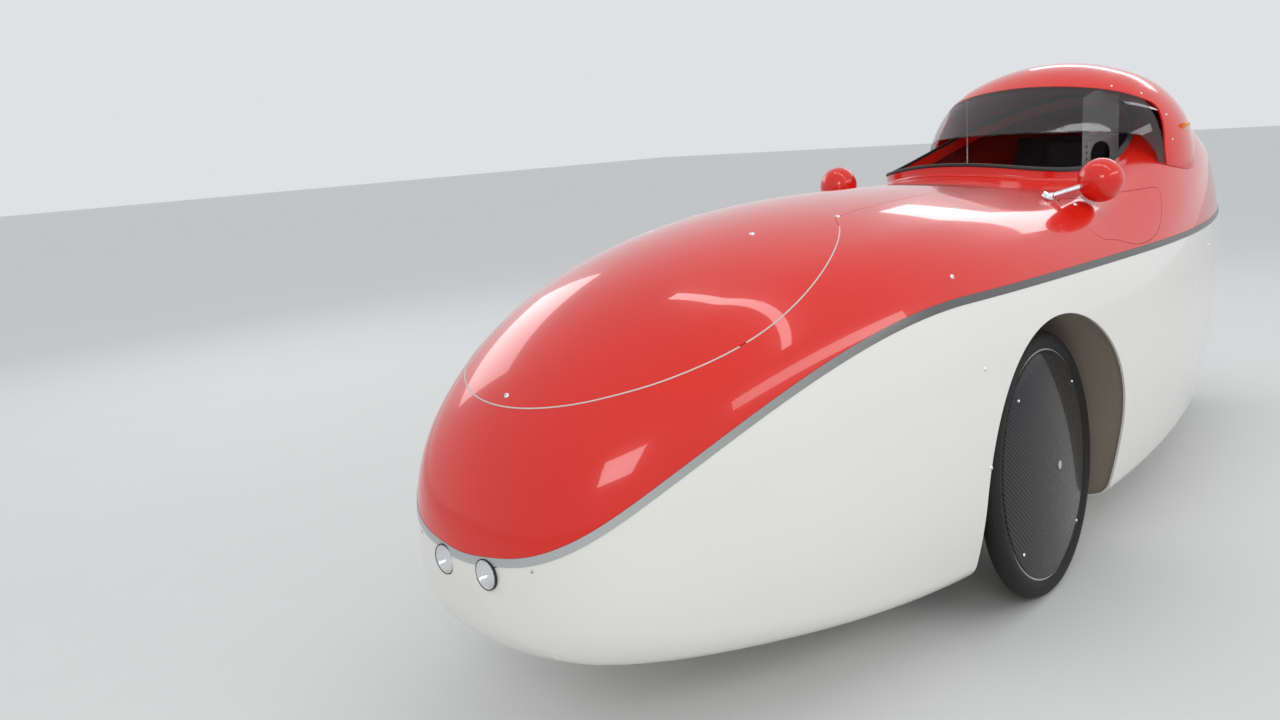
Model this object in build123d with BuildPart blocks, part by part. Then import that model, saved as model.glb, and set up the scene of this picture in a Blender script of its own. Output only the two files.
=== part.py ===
# Fully faired velomobile with two steered wheels in front and one wheel inside the tail.
# Millimetres. +X points forward, +Y to the rider's left and +Z up, from the ground.
import os
from math import cos, hypot, radians, sin, sqrt, tan

from build123d import *
from numpy import cumsum, linspace
from scipy.interpolate import CubicSpline

os.makedirs("parts", exist_ok=True)

# Shell
wall = 4
panel_gap = 0.8
seat_gap = 0.3
wide = 500
crown_angle = 22
floor_angle = 14
flank_angle = 14
hull_steps = 16
hood_steps = 8
cockpit_reach = 850

# Hull sections from nose to tail: place along the hull, half width, heights of the keel, of the
# widest line and of the crown, then the radii of the bilge and of the shoulder.
hull_sections = [
    (1379, 24, 264, 289, 314, 12, 12),
    (1374, 64, 231, 288, 343, 34, 34),
    (1360, 128, 190, 285, 390, 68, 72),
    (1325, 190, 156, 280, 457, 85, 107),
    (1240, 256, 130, 280, 545, 80, 145),
    (1100, 315, 110, 288, 630, 66, 180),
    (900, 360, 86, 305, 694, 50, 200),
    (650, 384, 66, 330, 723, 40, 205),
    (350, 393, 60, 355, 722, 40, 205),
    (0, 388, 64, 375, 735, 45, 210),
    (-350, 353, 80, 395, 820, 60, 235),
    (-700, 275, 112, 410, 845, 70, 190),
    (-1050, 158, 186, 425, 738, 60, 105),
    (-1300, 58, 275, 440, 610, 30, 38),
    (-1375, 32, 340, 445, 550, 14, 14),
]

# Seam between the lower and the upper shell: level along the flank, then an arc down to the nose
seam_height = 567
seam_level_end = 650
seam_radius = 1155
seam_front = 1420
band_width = 12

# Nose hatch, seen from above
hatch_front = 1292
hatch_half_width = 262
hatch_widest = 985
hatch_neck = 720
hatch_neck_half_width = 157
hatch_rear = 285
hatch_rear_half_width = 128

# Cockpit opening, seen from above
cockpit_front = 105
cockpit_rear = -525
cockpit_widest = -125
cockpit_half_width = 245
cockpit_back_half_width = 130
coaming_height = 18
coaming_wall = 5
trim_height = 7

# Flap below the cockpit, seen from the side
flap_front = 165
flap_rear = -222
flap_bottom = 576
flap_corner = 62
flap_top = 672

# Hood sections: place, half width at the base, height of the crown, radius of the shoulder
hood_base = 690
hood_sections = [
    (-62, 84, 738, 36),
    (-120, 150, 797, 80),
    (-200, 222, 868, 140),
    (-280, 272, 922, 180),
    (-380, 292, 946, 200),
    (-480, 285, 936, 195),
    (-580, 250, 902, 165),
    (-690, 186, 846, 120),
]
hood_wall = 4
hood_lift = 1.2
hood_hinge_x = -668
hood_hinge_z = 860

# Running gear
axle_x = 390
track_half = 338
tyre_radius = 235
bead_radius = 203
bead_half_width = 13
camber = 4
steer_rest = 6
kingpin_y = 305
kingpin_lean = 6
hub_inner = 36
strut_radius = 17
rod_radius = 9
stub_radius = 10
run_clearance = 0.05
bay_inner_y = 225
bay_radius = 254
bay_centre_z = 250
bay_clear = 4
box_wall = 3
rear_axle_x = -860
rear_radius = 310
rear_bead_radius = 279.5
rear_bead_half_width = 11

# Headlamps in the nose
lamp_y = 47
lamp_z = 292
lamp_radius = 21
lamp_back = 1350
lamp_front = 1378
lamp_tip = 1385

# Small rounds of the plan outlines
oval_angle = 30
hatch_corner = 240
hatch_cheek = 28
cockpit_corner = 190
cockpit_back_round = 55
flap_sweep = 92
flap_sag = 26
trim_lap = 2
above_all = 1000
arch_foot = 50

# Slot under the rear wheel
rear_slot_x = -885
rear_slot_length = 600
rear_slot_width = 92

# Side outlines of the hood's front cut and of the visor, as place along and height
hood_front_cut = [(120, 600), (120, 806), (-110, 799), (-200, 790), (-262, 778), (-292, 735), (-296, 600)]
visor_side = [(160, 640), (160, 960), (-108, 960), (-345, 838), (-318, 745), (-322, 640)]
visor_corner = 22
hinge_half = 18
hinge_leaf_width = 30
hinge_leaf_length = 44
hinge_leaf_depth = 24
hinge_side_gap = 1
hinge_notch = 34
hinge_radius = 7
hinge_pin_radius = 3

# Brackets under the visor
bracket_front_x = -232
bracket_front_y = 138
bracket_rear_x = -312
bracket_rear_y = 182
bracket_foot = 716
bracket_height = 210
bracket_arch = 52
bracket_leg = 20
bracket_wall = 3
bracket_holes = 3
bracket_hole_pitch = 14
bracket_hole_radius = 3

# Mirrors
mirror_x = 59
mirror_y = 301
mirror_z = 705
mirror_radius = 42
mirror_cut = 16
glass_radius = 36
glass_wall = 3
stalk_x = 150
stalk_y = 240
stalk_z = 682
stalk_radius = 4.5
stalk_sink = 14
stalk_flange = 12
stalk_heart_z = 355
stalk_flange_height = 4

# Lamps
lamp_rim = 2
indicator_x = -430
indicator_y = 268
indicator_z = 776
indicator_length = 34
indicator_width = 16
indicator_height = 26
indicator_taper = 8
tail_lamp_z = 445
tail_lamp_length = 90
tail_lamp_width = 30

# Struts, arms and hubs
rod_foot = 300
rod_clearance = 0.3
strut_foot = 165
strut_top = 400
strut_mount_foot = 485
strut_mount_radius = 20
arm_eye = 149
arm_z = 148
arm_width = 26
arm_height = 14
arm_inner_y = 140
arm_foot = 40
arm_eye_radius = 14
arm_pin_radius = 6
knuckle_offset = 58
stub_reach = 13
hub_reach = 18
hub_cap = 6
cap_proud = 1.5
disc_hole = 8
brake_depth = 14
brake_radius = 45
steer_arm_height = 186
steer_arm_length = 70
steer_arm_width = 18
steer_arm_hole = 3.5
rim_inner = 190
hub_radius = 24
hub_half = 30
dish_wall = 3
disc_radius = 200
disc_crown = 36
disc_bulge = 6.5
disc_bulge_out = 110
disc_bulge_in = 106
disc_wall = 2

# Rear wheel and its arm
rear_rim_inner = 262
rear_hub_radius = 22
rear_hub_half = 36
rear_pin_radius = 6
pivot_x = -512
pivot_z = 225
pivot_radius = 17
swing_width = 36
swing_half = 42
swing_wall = 8

# Seat
seat_points = [(75, 165), (-20, 92), (-130, 81), (-330, 330), (-470, 590), (-548, 775)]
headrest_points = [(-494, 648), (-544, 766)]
seat_round = 70
seat_wall = 5
seat_width = 330
pad_margin = 16
pad_thickness = 18
headrest_width = 170
headrest_thickness = 32

# Tiller
tiller_foot_x = 330
tiller_foot_z = 120
tiller_top_x = -45
tiller_top_z = 560
socket_depth = 45
socket_radius = 20
column_radius = 14
column_pin_radius = 9
bar_rake = 66
bar_rise = 96
bar_half = 80
bar_round = 34
bar_radius = 11
grip_radius = 15
grip_length = 84

tyre_centre = (tyre_radius**2 - bead_radius**2 - bead_half_width**2) / (2 * (tyre_radius - bead_radius))
tyre_round = tyre_radius - tyre_centre
axle_z = tyre_centre * cos(radians(camber)) + tyre_round
sides = {"left": 1, "right": -1}
kingpin_at_axle = kingpin_y - axle_z * tan(radians(kingpin_lean))
stub_offset = track_half - kingpin_at_axle
kingpin_x = axle_x + stub_offset * sin(radians(steer_rest))
bay_x = kingpin_x


def quarter(reach, rise, corner, crown, flank):
    """Joints and middles of three tangent arcs from the crown (0, rise) to the flank (reach, 0)."""
    p, q = radians(crown), radians(flank)
    across = reach - corner * (cos(q) - sin(p))
    up = rise - corner * (cos(p) - sin(q))
    det = sin(p) * sin(q) - (1 - cos(p)) * (1 - cos(q))
    crown_radius = (across * sin(q) - up * (1 - cos(q))) / det
    flank_radius = (up * sin(p) - across * (1 - cos(p))) / det

    def on_crown(t):
        return crown_radius * sin(t), rise - crown_radius * (1 - cos(t))

    def on_corner(t):
        y, z = on_crown(p)
        return y + corner * (sin(t) - sin(p)), z - corner * (cos(p) - cos(t))

    def on_flank(t):
        return reach - flank_radius * (1 - cos(t)), flank_radius * sin(t)

    turn = radians(90)
    return on_crown(p), on_corner((p + turn - q) / 2), on_flank(q), on_flank(q / 2)


def section_plane(x):
    """Plane across the vehicle at x, its own axes along +Y and +Z."""
    return Plane(origin=(x, 0, 0), x_dir=(0, 1, 0), z_dir=(1, 0, 0))


def even_rows(rows, count):
    """Sections spaced evenly along the plan outline, each followed by the outline's outward normal."""
    table = [[float(value) for value in row] for row in rows]
    steps = [hypot(after[0] - before[0], after[1] - before[1]) for before, after in zip(table, table[1:])]
    places = [0.0, *cumsum(steps)]
    curve = CubicSpline(places, table)
    spaced = []
    for place in linspace(0, places[-1], count):
        along, out = curve(place, 1)[:2]
        length = hypot(along, out)
        spaced.append((*curve(place), out / length, -along / length))
    return spaced


hull_rows = even_rows(hull_sections, hull_steps)
cockpit_rows = [row for row in hull_rows if abs(row[0] - cockpit_widest) < cockpit_reach]
hood_rows = even_rows(hood_sections, hood_steps)


def hull_solid(inset, rows=hull_rows):
    """The hull, or a stretch of it, as one solid, its skin moved in by inset."""
    with BuildPart() as hull:
        for x, half, keel, widest, crown, bilge, shoulder, ahead, aside in rows:
            x -= inset * ahead
            half -= inset * aside
            top = quarter(half, crown - inset - widest, shoulder - inset, crown_angle, flank_angle)
            low = quarter(half, widest - keel - inset, bilge - inset, floor_angle, flank_angle)
            with BuildSketch(section_plane(x)):
                with BuildLine():
                    upper = [(y, widest + z) for y, z in top]
                    lower = [(y, widest - z) for y, z in low]
                    left = [(-y, z) for y, z in upper]
                    left_low = [(-y, z) for y, z in lower]
                    ThreePointArc(left[0], (0, crown - inset), upper[0])
                    ThreePointArc(upper[0], upper[1], upper[2])
                    ThreePointArc(upper[2], upper[3], (half, widest))
                    ThreePointArc((half, widest), lower[3], lower[2])
                    ThreePointArc(lower[2], lower[1], lower[0])
                    ThreePointArc(lower[0], (0, keel + inset), left_low[0])
                    ThreePointArc(left_low[0], left_low[1], left_low[2])
                    ThreePointArc(left_low[2], left_low[3], (-half, widest))
                    ThreePointArc((-half, widest), left[3], left[2])
                    ThreePointArc(left[2], left[1], left[0])
                make_face()
        loft()
    return hull.part


def hood_solid(inset):
    """The hood's dome as one solid on its flat base, its skin moved in by inset."""
    with BuildPart() as dome:
        for x, half, crown, shoulder, ahead, aside in hood_rows:
            x -= inset * ahead
            half -= inset * aside
            arcs = quarter(half, crown - inset - hood_base, shoulder - inset, crown_angle, flank_angle)
            right = [(y, hood_base + z) for y, z in arcs]
            left = [(-y, z) for y, z in right]
            with BuildSketch(section_plane(x)):
                with BuildLine():
                    ThreePointArc((-half, hood_base), left[3], left[2])
                    ThreePointArc(left[2], left[1], left[0])
                    ThreePointArc(left[0], (0, crown - inset), right[0])
                    ThreePointArc(right[0], right[1], right[2])
                    ThreePointArc(right[2], right[3], (half, hood_base))
                    Line((half, hood_base), (-half, hood_base))
                make_face()
        loft()
    return dome.part


hull_outside = hull_solid(0)
hull_inside = hull_solid(wall)
with BuildPart() as hull_shell:
    add(hull_outside)
    add(hull_inside, mode=Mode.SUBTRACT)


def keep(builder, name):
    """Label a finished piece and write it."""
    builder.part.label = name
    export_step(builder.part, f"parts/{name}.step")


def below_seam(shift):
    """Everything under the seam line, the line moved up by shift."""
    def seam(x):
        return seam_height + shift - seam_radius + sqrt(seam_radius**2 - (x - seam_level_end) ** 2)

    middle = (seam_front + seam_level_end) / 2
    with BuildPart() as block:
        with BuildSketch(Plane.XZ):
            with BuildLine():
                ThreePointArc(
                    (seam_front, seam(seam_front)),
                    (middle, seam(middle)),
                    (seam_level_end, seam(seam_level_end)),
                )
                Polyline(
                    (seam_level_end, seam(seam_level_end)),
                    (-seam_front, seam(seam_level_end)),
                    (-seam_front, -wide),
                    (seam_front, -wide),
                    (seam_front, seam(seam_front)),
                )
            make_face()
        extrude(amount=wide, both=True)
    return block.part


below_band = below_seam(-band_width / 2)
above_lower = below_seam(band_width / 2)


def bay_plane(side, y):
    """Upright plane facing outboard, its own X across the wheel bay and its own Y up."""
    return Plane(origin=(bay_x, side * y, 0), x_dir=(-side, 0, 0), z_dir=(0, side, 0))


def arch(side, y, radius, depth):
    """Solid under a round wheel arch, from the plane at y outboard."""
    with BuildPart() as tunnel:
        with BuildSketch(bay_plane(side, y)):
            with BuildLine():
                ThreePointArc((-radius, bay_centre_z), (0, bay_centre_z + radius), (radius, bay_centre_z))
                Polyline((radius, bay_centre_z), (radius, -arch_foot), (-radius, -arch_foot), (-radius, bay_centre_z))
            make_face()
        extrude(amount=depth)
    return tunnel.part


def lamp_plane(side, x):
    """Plane facing forward through a headlamp's axis."""
    return Plane(origin=(x, side * lamp_y, lamp_z), z_dir=(1, 0, 0))


with BuildPart() as lamp_holes:
    for side in sides.values():
        with BuildSketch(lamp_plane(side, lamp_back - wall)):
            Circle(lamp_radius + seat_gap)
        extrude(amount=lamp_tip - lamp_back + 2 * wall)

# Lower shell: open under both front wheels and under the rear wheel
with BuildPart() as lower_shell:
    add(hull_shell.part)
    add(below_band, mode=Mode.INTERSECT)
    for side in sides.values():
        add(arch(side, bay_inner_y, bay_radius, wide), mode=Mode.SUBTRACT)
    add(lamp_holes.part, mode=Mode.SUBTRACT)
    with BuildSketch(Plane.XY):
        with Locations((rear_slot_x, 0)):
            SlotOverall(rear_slot_length, rear_slot_width)
    extrude(amount=rear_radius, mode=Mode.SUBTRACT)
keep(lower_shell, "lower_shell")

with BuildPart() as seam_band:
    add(hull_shell.part)
    add(above_lower, mode=Mode.INTERSECT)
    add(below_band, mode=Mode.SUBTRACT)
    add(lamp_holes.part, mode=Mode.SUBTRACT)
keep(seam_band, "seam_band")


def oval_front(widest_x, half_width, length, corner):
    """Rounded front half of a plan outline: three tangent arcs on each side of the centre line."""
    arcs = quarter(half_width, length, corner, oval_angle, oval_angle)
    right = [(widest_x + along, -across) for across, along in arcs]
    left = [(x, -y) for x, y in right]
    ThreePointArc((widest_x, -half_width), right[3], right[2])
    ThreePointArc(right[2], right[1], right[0])
    ThreePointArc(right[0], (widest_x + length, 0), left[0])
    ThreePointArc(left[0], left[1], left[2])
    ThreePointArc(left[2], left[3], (widest_x, half_width))


# Outline of the nose hatch: a rounded front, cheeks that draw in, and a tongue back to the cockpit
with BuildSketch() as hatch_outline:
    with BuildLine():
        oval_front(hatch_widest, hatch_half_width, hatch_front - hatch_widest, hatch_corner)
        for turn in (1, -1):
            TangentArc(
                (hatch_widest, turn * hatch_half_width),
                (hatch_neck + hatch_cheek, turn * (hatch_neck_half_width + hatch_cheek)),
                tangent=(-1, 0),
            )
            Polyline(
                (hatch_neck + hatch_cheek, turn * (hatch_neck_half_width + hatch_cheek)),
                (hatch_neck, turn * hatch_neck_half_width),
                (hatch_rear, turn * hatch_rear_half_width),
                (hatch_rear, 0),
            )
    make_face()

with BuildSketch() as cockpit_outline:
    with BuildLine():
        oval_front(cockpit_widest, cockpit_half_width, cockpit_front - cockpit_widest, cockpit_corner)
        for turn in (1, -1):
            TangentArc(
                (cockpit_widest, turn * cockpit_half_width),
                (cockpit_rear + cockpit_back_round, turn * cockpit_back_half_width),
                tangent=(-1, 0),
            )
        ThreePointArc(
            (cockpit_rear + cockpit_back_round, cockpit_back_half_width),
            (cockpit_rear, 0),
            (cockpit_rear + cockpit_back_round, -cockpit_back_half_width),
        )
    make_face()

with BuildSketch(Plane.XZ) as flap_outline:
    with BuildLine():
        front_turn = flap_front - flap_corner
        low_rear = flap_rear + flap_sweep
        Line((flap_rear, flap_top), (front_turn, flap_top))
        ThreePointArc(
            (front_turn, flap_top),
            (flap_front, (flap_top + flap_bottom) / 2),
            (front_turn, flap_bottom + flap_sag),
        )
        ThreePointArc(
            (front_turn, flap_bottom + flap_sag),
            ((front_turn + low_rear) / 2, flap_bottom),
            (low_rear, flap_bottom + flap_sag),
        )
        Line((low_rear, flap_bottom + flap_sag), (flap_rear, flap_top))
    make_face()


def prism(sketch, inset, low, high):
    """A plan outline, moved in by inset, carried up from low to high."""
    with BuildPart() as column:
        with BuildSketch(Plane.XY.offset(low)):
            add(sketch)
            if inset:
                offset(amount=-inset, mode=Mode.REPLACE)
        extrude(amount=high - low)
    return column.part


def flap_prism(side, inset):
    """The flap's outline, moved in by inset, carried out to one side."""
    with BuildPart() as column:
        with BuildSketch(Plane.XZ):
            add(flap_outline.sketch)
            if inset:
                offset(amount=-inset, mode=Mode.REPLACE)
        extrude(amount=-side * wide)
    return column.part


with BuildPart() as upper_hull:
    add(hull_shell.part)
    add(above_lower, mode=Mode.SUBTRACT)

# Upper shell: one skin with the hatch, the cockpit and the two flaps cut out of it
with BuildPart() as upper_shell:
    add(upper_hull.part)
    add(prism(hatch_outline.sketch, 0, above_all - wide, above_all), mode=Mode.SUBTRACT)
    add(prism(cockpit_outline.sketch, 0, above_all - wide, above_all), mode=Mode.SUBTRACT)
    for side in sides.values():
        add(flap_prism(side, 0), mode=Mode.SUBTRACT)
keep(upper_shell, "upper_shell")

with BuildPart() as nose_hatch:
    add(upper_hull.part)
    add(prism(hatch_outline.sketch, panel_gap, above_all - wide, above_all), mode=Mode.INTERSECT)
keep(nose_hatch, "nose_hatch")

for name, side in sides.items():
    with BuildPart() as flap:
        add(upper_hull.part)
        add(flap_prism(side, panel_gap), mode=Mode.INTERSECT)
    keep(flap, f"side_flap_{name}")

# Coaming: a raised collar round the cockpit, with a soft trim along its top edge
coaming_top = hull_solid(-coaming_height, cockpit_rows)
with BuildPart() as coaming:
    add(prism(cockpit_outline.sketch, seat_gap, above_all - wide, above_all))
    add(prism(cockpit_outline.sketch, seat_gap + coaming_wall, 0, above_all), mode=Mode.SUBTRACT)
    add(coaming_top, mode=Mode.INTERSECT)
    add(hull_inside, mode=Mode.SUBTRACT)
keep(coaming, "cockpit_coaming")

with BuildPart() as trim:
    add(prism(cockpit_outline.sketch, seat_gap - trim_lap, above_all - wide, above_all))
    add(prism(cockpit_outline.sketch, seat_gap + coaming_wall + trim_lap, 0, above_all), mode=Mode.SUBTRACT)
    add(hull_solid(-coaming_height - trim_height, cockpit_rows), mode=Mode.INTERSECT)
    add(coaming_top, mode=Mode.SUBTRACT)
keep(trim, "coaming_trim")

# Hood: a dome over the rider's head, its front a curved visor, its edge resting on the deck
with BuildPart() as dome:
    add(hood_solid(0))
    add(hood_solid(hood_wall), mode=Mode.SUBTRACT)
    add(hull_solid(-hood_lift), mode=Mode.SUBTRACT)
    with BuildSketch(Plane.XZ):
        with BuildLine():
            Polyline(*hood_front_cut, close=True)
        make_face()
    extrude(amount=wide, both=True, mode=Mode.SUBTRACT)
    with Locations((hood_hinge_x - wide / 2, 0, hood_hinge_z)):
        Box(wide, 2 * wide, wide, mode=Mode.SUBTRACT)

with BuildSketch(Plane.XZ) as visor_outline:
    with BuildLine():
        FilletPolyline(*visor_side, radius=visor_corner, close=True)
    make_face()


def visor_prism(inset):
    """The visor's side outline, moved in by inset, carried across the hood."""
    with BuildPart() as column:
        with BuildSketch(Plane.XZ):
            add(visor_outline.sketch)
            if inset:
                offset(amount=-inset, mode=Mode.REPLACE)
        extrude(amount=wide, both=True)
    return column.part


def cross_plane(x, y, z):
    """Plane across the vehicle's width at a point, facing +Y."""
    return Plane(origin=(x, y, z), x_dir=(-1, 0, 0), z_dir=(0, 1, 0))


with BuildPart() as hood_shell:
    add(dome.part)
    add(visor_prism(0), mode=Mode.SUBTRACT)
    for side in sides.values():
        with Locations((hood_hinge_x, side * (hinge_half + hinge_leaf_width / 2), hood_hinge_z)):
            Box(hinge_notch, hinge_leaf_width, hinge_notch, mode=Mode.SUBTRACT)
    with BuildSketch(cross_plane(hood_hinge_x, -hinge_half, hood_hinge_z)):
        Circle(hinge_radius)
    extrude(amount=2 * hinge_half)
    with BuildSketch(cross_plane(hood_hinge_x, -hinge_half, hood_hinge_z)):
        Circle(hinge_pin_radius + run_clearance)
    extrude(amount=2 * hinge_half, mode=Mode.SUBTRACT)
keep(hood_shell, "hood_shell")

with BuildPart() as visor:
    add(dome.part)
    add(visor_prism(panel_gap / 2), mode=Mode.INTERSECT)
keep(visor, "visor")

with BuildPart() as hood_hinge:
    with BuildSketch(cross_plane(hood_hinge_x, -hinge_half - hinge_leaf_width / 2, hood_hinge_z)):
        Circle(hinge_pin_radius)
    extrude(amount=2 * hinge_half + hinge_leaf_width)
    for side in sides.values():
        leaf_y = side * (hinge_half + hinge_leaf_width / 2)
        with BuildSketch(cross_plane(hood_hinge_x, leaf_y, hood_hinge_z)):
            Circle(hinge_radius)
        extrude(amount=hinge_leaf_width / 2 - hinge_side_gap, both=True)
        with Locations((hood_hinge_x - hinge_leaf_length / 2, leaf_y, hood_hinge_z - hinge_leaf_depth / 2)):
            Box(hinge_leaf_length, hinge_leaf_width - 2 * hinge_side_gap, hinge_leaf_depth)
    add(hull_outside, mode=Mode.SUBTRACT)
keep(hood_hinge, "hood_hinge")

# Clear side brackets under the visor: two legs, an arch between them and a row of holes
hood_room = hood_solid(hood_wall + seat_gap)
for name, side in sides.items():
    run_x = bracket_rear_x - bracket_front_x
    run_y = side * (bracket_rear_y - bracket_front_y)
    length = hypot(run_x, run_y)
    plate = Plane(
        origin=(bracket_front_x, side * bracket_front_y, bracket_foot),
        x_dir=(run_x, run_y, 0),
        z_dir=(run_y, -run_x, 0),
    )
    with BuildPart() as bracket:
        with BuildSketch(plate):
            with Locations((length / 2, bracket_height / 2)):
                Rectangle(length, bracket_height)
            with Locations((length / 2, 0)):
                SlotOverall(2 * bracket_arch, length - 2 * bracket_leg, rotation=90, mode=Mode.SUBTRACT)
            for hole in range(bracket_holes):
                with Locations((bracket_leg / 2, bracket_hole_pitch * (hole + 1))):
                    Circle(bracket_hole_radius, mode=Mode.SUBTRACT)
        extrude(amount=bracket_wall / 2, both=True)
        add(hood_room, mode=Mode.INTERSECT)
    keep(bracket, f"visor_bracket_{name}")

# Mirrors: a round pod with a flat glass behind, on a rod from the deck
for name, side in sides.items():
    middle = Vector(mirror_x, side * mirror_y, mirror_z)
    foot = Vector(stalk_x, side * stalk_y, stalk_z)
    rim = sqrt(mirror_radius**2 - mirror_cut**2)
    with BuildPart() as pod:
        with BuildSketch(Plane(origin=middle, x_dir=(1, 0, 0), z_dir=(0, -1, 0))):
            with BuildLine():
                ThreePointArc((mirror_radius, 0), (0, mirror_radius), (-mirror_cut, rim))
                Polyline(
                    (-mirror_cut, rim),
                    (-mirror_cut, glass_radius + seat_gap),
                    (glass_wall - mirror_cut, glass_radius + seat_gap),
                    (glass_wall - mirror_cut, 0),
                    (mirror_radius, 0),
                )
            make_face()
        revolve(axis=Axis(middle, (1, 0, 0)))
    keep(pod, f"mirror_housing_{name}")
    reach = (middle - foot).normalized()
    with BuildPart() as stalk:
        with BuildSketch(Plane(origin=foot - reach * stalk_sink, z_dir=reach)):
            Circle(stalk_radius)
        extrude(amount=(middle - foot).length + stalk_sink)
        with BuildSketch(Plane(origin=foot, z_dir=(0, side * stalk_y, stalk_z - stalk_heart_z))):
            Circle(stalk_flange)
        extrude(amount=stalk_flange_height)
        with BuildSketch(Plane(origin=foot, z_dir=(0, side * stalk_y, stalk_z - stalk_heart_z))):
            Circle(stalk_flange)
        extrude(amount=-stalk_sink)
        add(hull_outside, mode=Mode.SUBTRACT)
        with Locations(middle):
            Sphere(mirror_radius, mode=Mode.SUBTRACT)
    keep(stalk, f"mirror_stalk_{name}")

with BuildPart() as mirror_glass:
    for side in sides.values():
        with BuildSketch(Plane(origin=(mirror_x - mirror_cut, side * mirror_y, mirror_z), z_dir=(1, 0, 0))):
            Circle(glass_radius)
        extrude(amount=glass_wall)
keep(mirror_glass, "mirror_glass")

# Headlamps: a reflector bowl in each socket of the nose, closed by a domed lens
for name, side in sides.items():
    with BuildPart() as lamp:
        with BuildSketch(lamp_plane(side, lamp_back)):
            Circle(lamp_radius)
        extrude(amount=lamp_front - lamp_back)
        with Locations((lamp_front, side * lamp_y, lamp_z)):
            Sphere(lamp_radius - lamp_rim, mode=Mode.SUBTRACT)
    keep(lamp, f"headlamp_{name}")

with BuildPart() as lenses:
    for side in sides.values():
        centre = Vector(lamp_front, side * lamp_y, lamp_z)
        dome_height = lamp_tip - lamp_front
        with BuildSketch(Plane(origin=centre, x_dir=(1, 0, 0), z_dir=(0, -1, 0))):
            with BuildLine():
                sag = (lamp_radius**2 + dome_height**2) / (2 * dome_height)
                half_turn = lamp_radius / 2
                ThreePointArc(
                    (0, lamp_radius),
                    (dome_height - sag + sqrt(sag**2 - half_turn**2), half_turn),
                    (dome_height, 0),
                )
                Polyline((dome_height, 0), (0, 0), (0, lamp_radius))
            make_face()
        revolve(axis=Axis(centre, (1, 0, 0)))
keep(lenses, "headlamp_lenses")

# Amber side lamps on the hood's cheeks
with BuildPart() as indicators:
    for side in sides.values():
        with BuildSketch(Plane(origin=(indicator_x, side * indicator_y, indicator_z), z_dir=(0, side, 1))):
            SlotOverall(indicator_length, indicator_width)
        extrude(amount=indicator_height, taper=indicator_taper)
    add(hood_solid(0), mode=Mode.SUBTRACT)
keep(indicators, "indicators")

with BuildPart() as tail_lamp:
    with BuildSketch(Plane(origin=(hull_sections[-1][0], 0, tail_lamp_z), x_dir=(0, 1, 0), z_dir=(-1, 0, 0))):
        SlotOverall(tail_lamp_length, tail_lamp_width, rotation=90)
    extrude(amount=lamp_tip + hull_sections[-1][0])
keep(tail_lamp, "tail_lamp")


def axle_frame(side):
    """Wheel centre, forward direction and outboard axle direction at the rest angle of the steering."""
    s, c = radians(steer_rest), radians(camber)
    centre = Vector(kingpin_x - side * stub_offset * sin(s), side * track_half, axle_z)
    forward = Vector(cos(s), sin(s), 0)
    outboard = Vector(-side * sin(s) * cos(c), side * cos(s) * cos(c), sin(c))
    return centre, forward, outboard


def kingpin(side):
    """Foot of the kingpin axis on the ground and its direction, leaning inboard."""
    lean = radians(kingpin_lean)
    return Vector(kingpin_x, side * kingpin_y, 0), Vector(0, -side * sin(lean), cos(lean))


def wheel_plane(centre, forward, axle):
    """Half plane of a wheel: its own X is the radius, its own Y runs along the axle."""
    return Plane(origin=centre, x_dir=forward, z_dir=forward.cross(axle))


def tyre_solid(plane, axle, radius, bead, bead_half):
    """A tyre: one round arc over the two beads, turned about the axle."""
    with BuildPart() as ring:
        with BuildSketch(plane):
            with BuildLine():
                ThreePointArc((bead, -bead_half), (radius, 0), (bead, bead_half))
                Line((bead, bead_half), (bead, -bead_half))
            make_face()
        revolve(axis=Axis(plane.origin, axle))
    return ring


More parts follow.
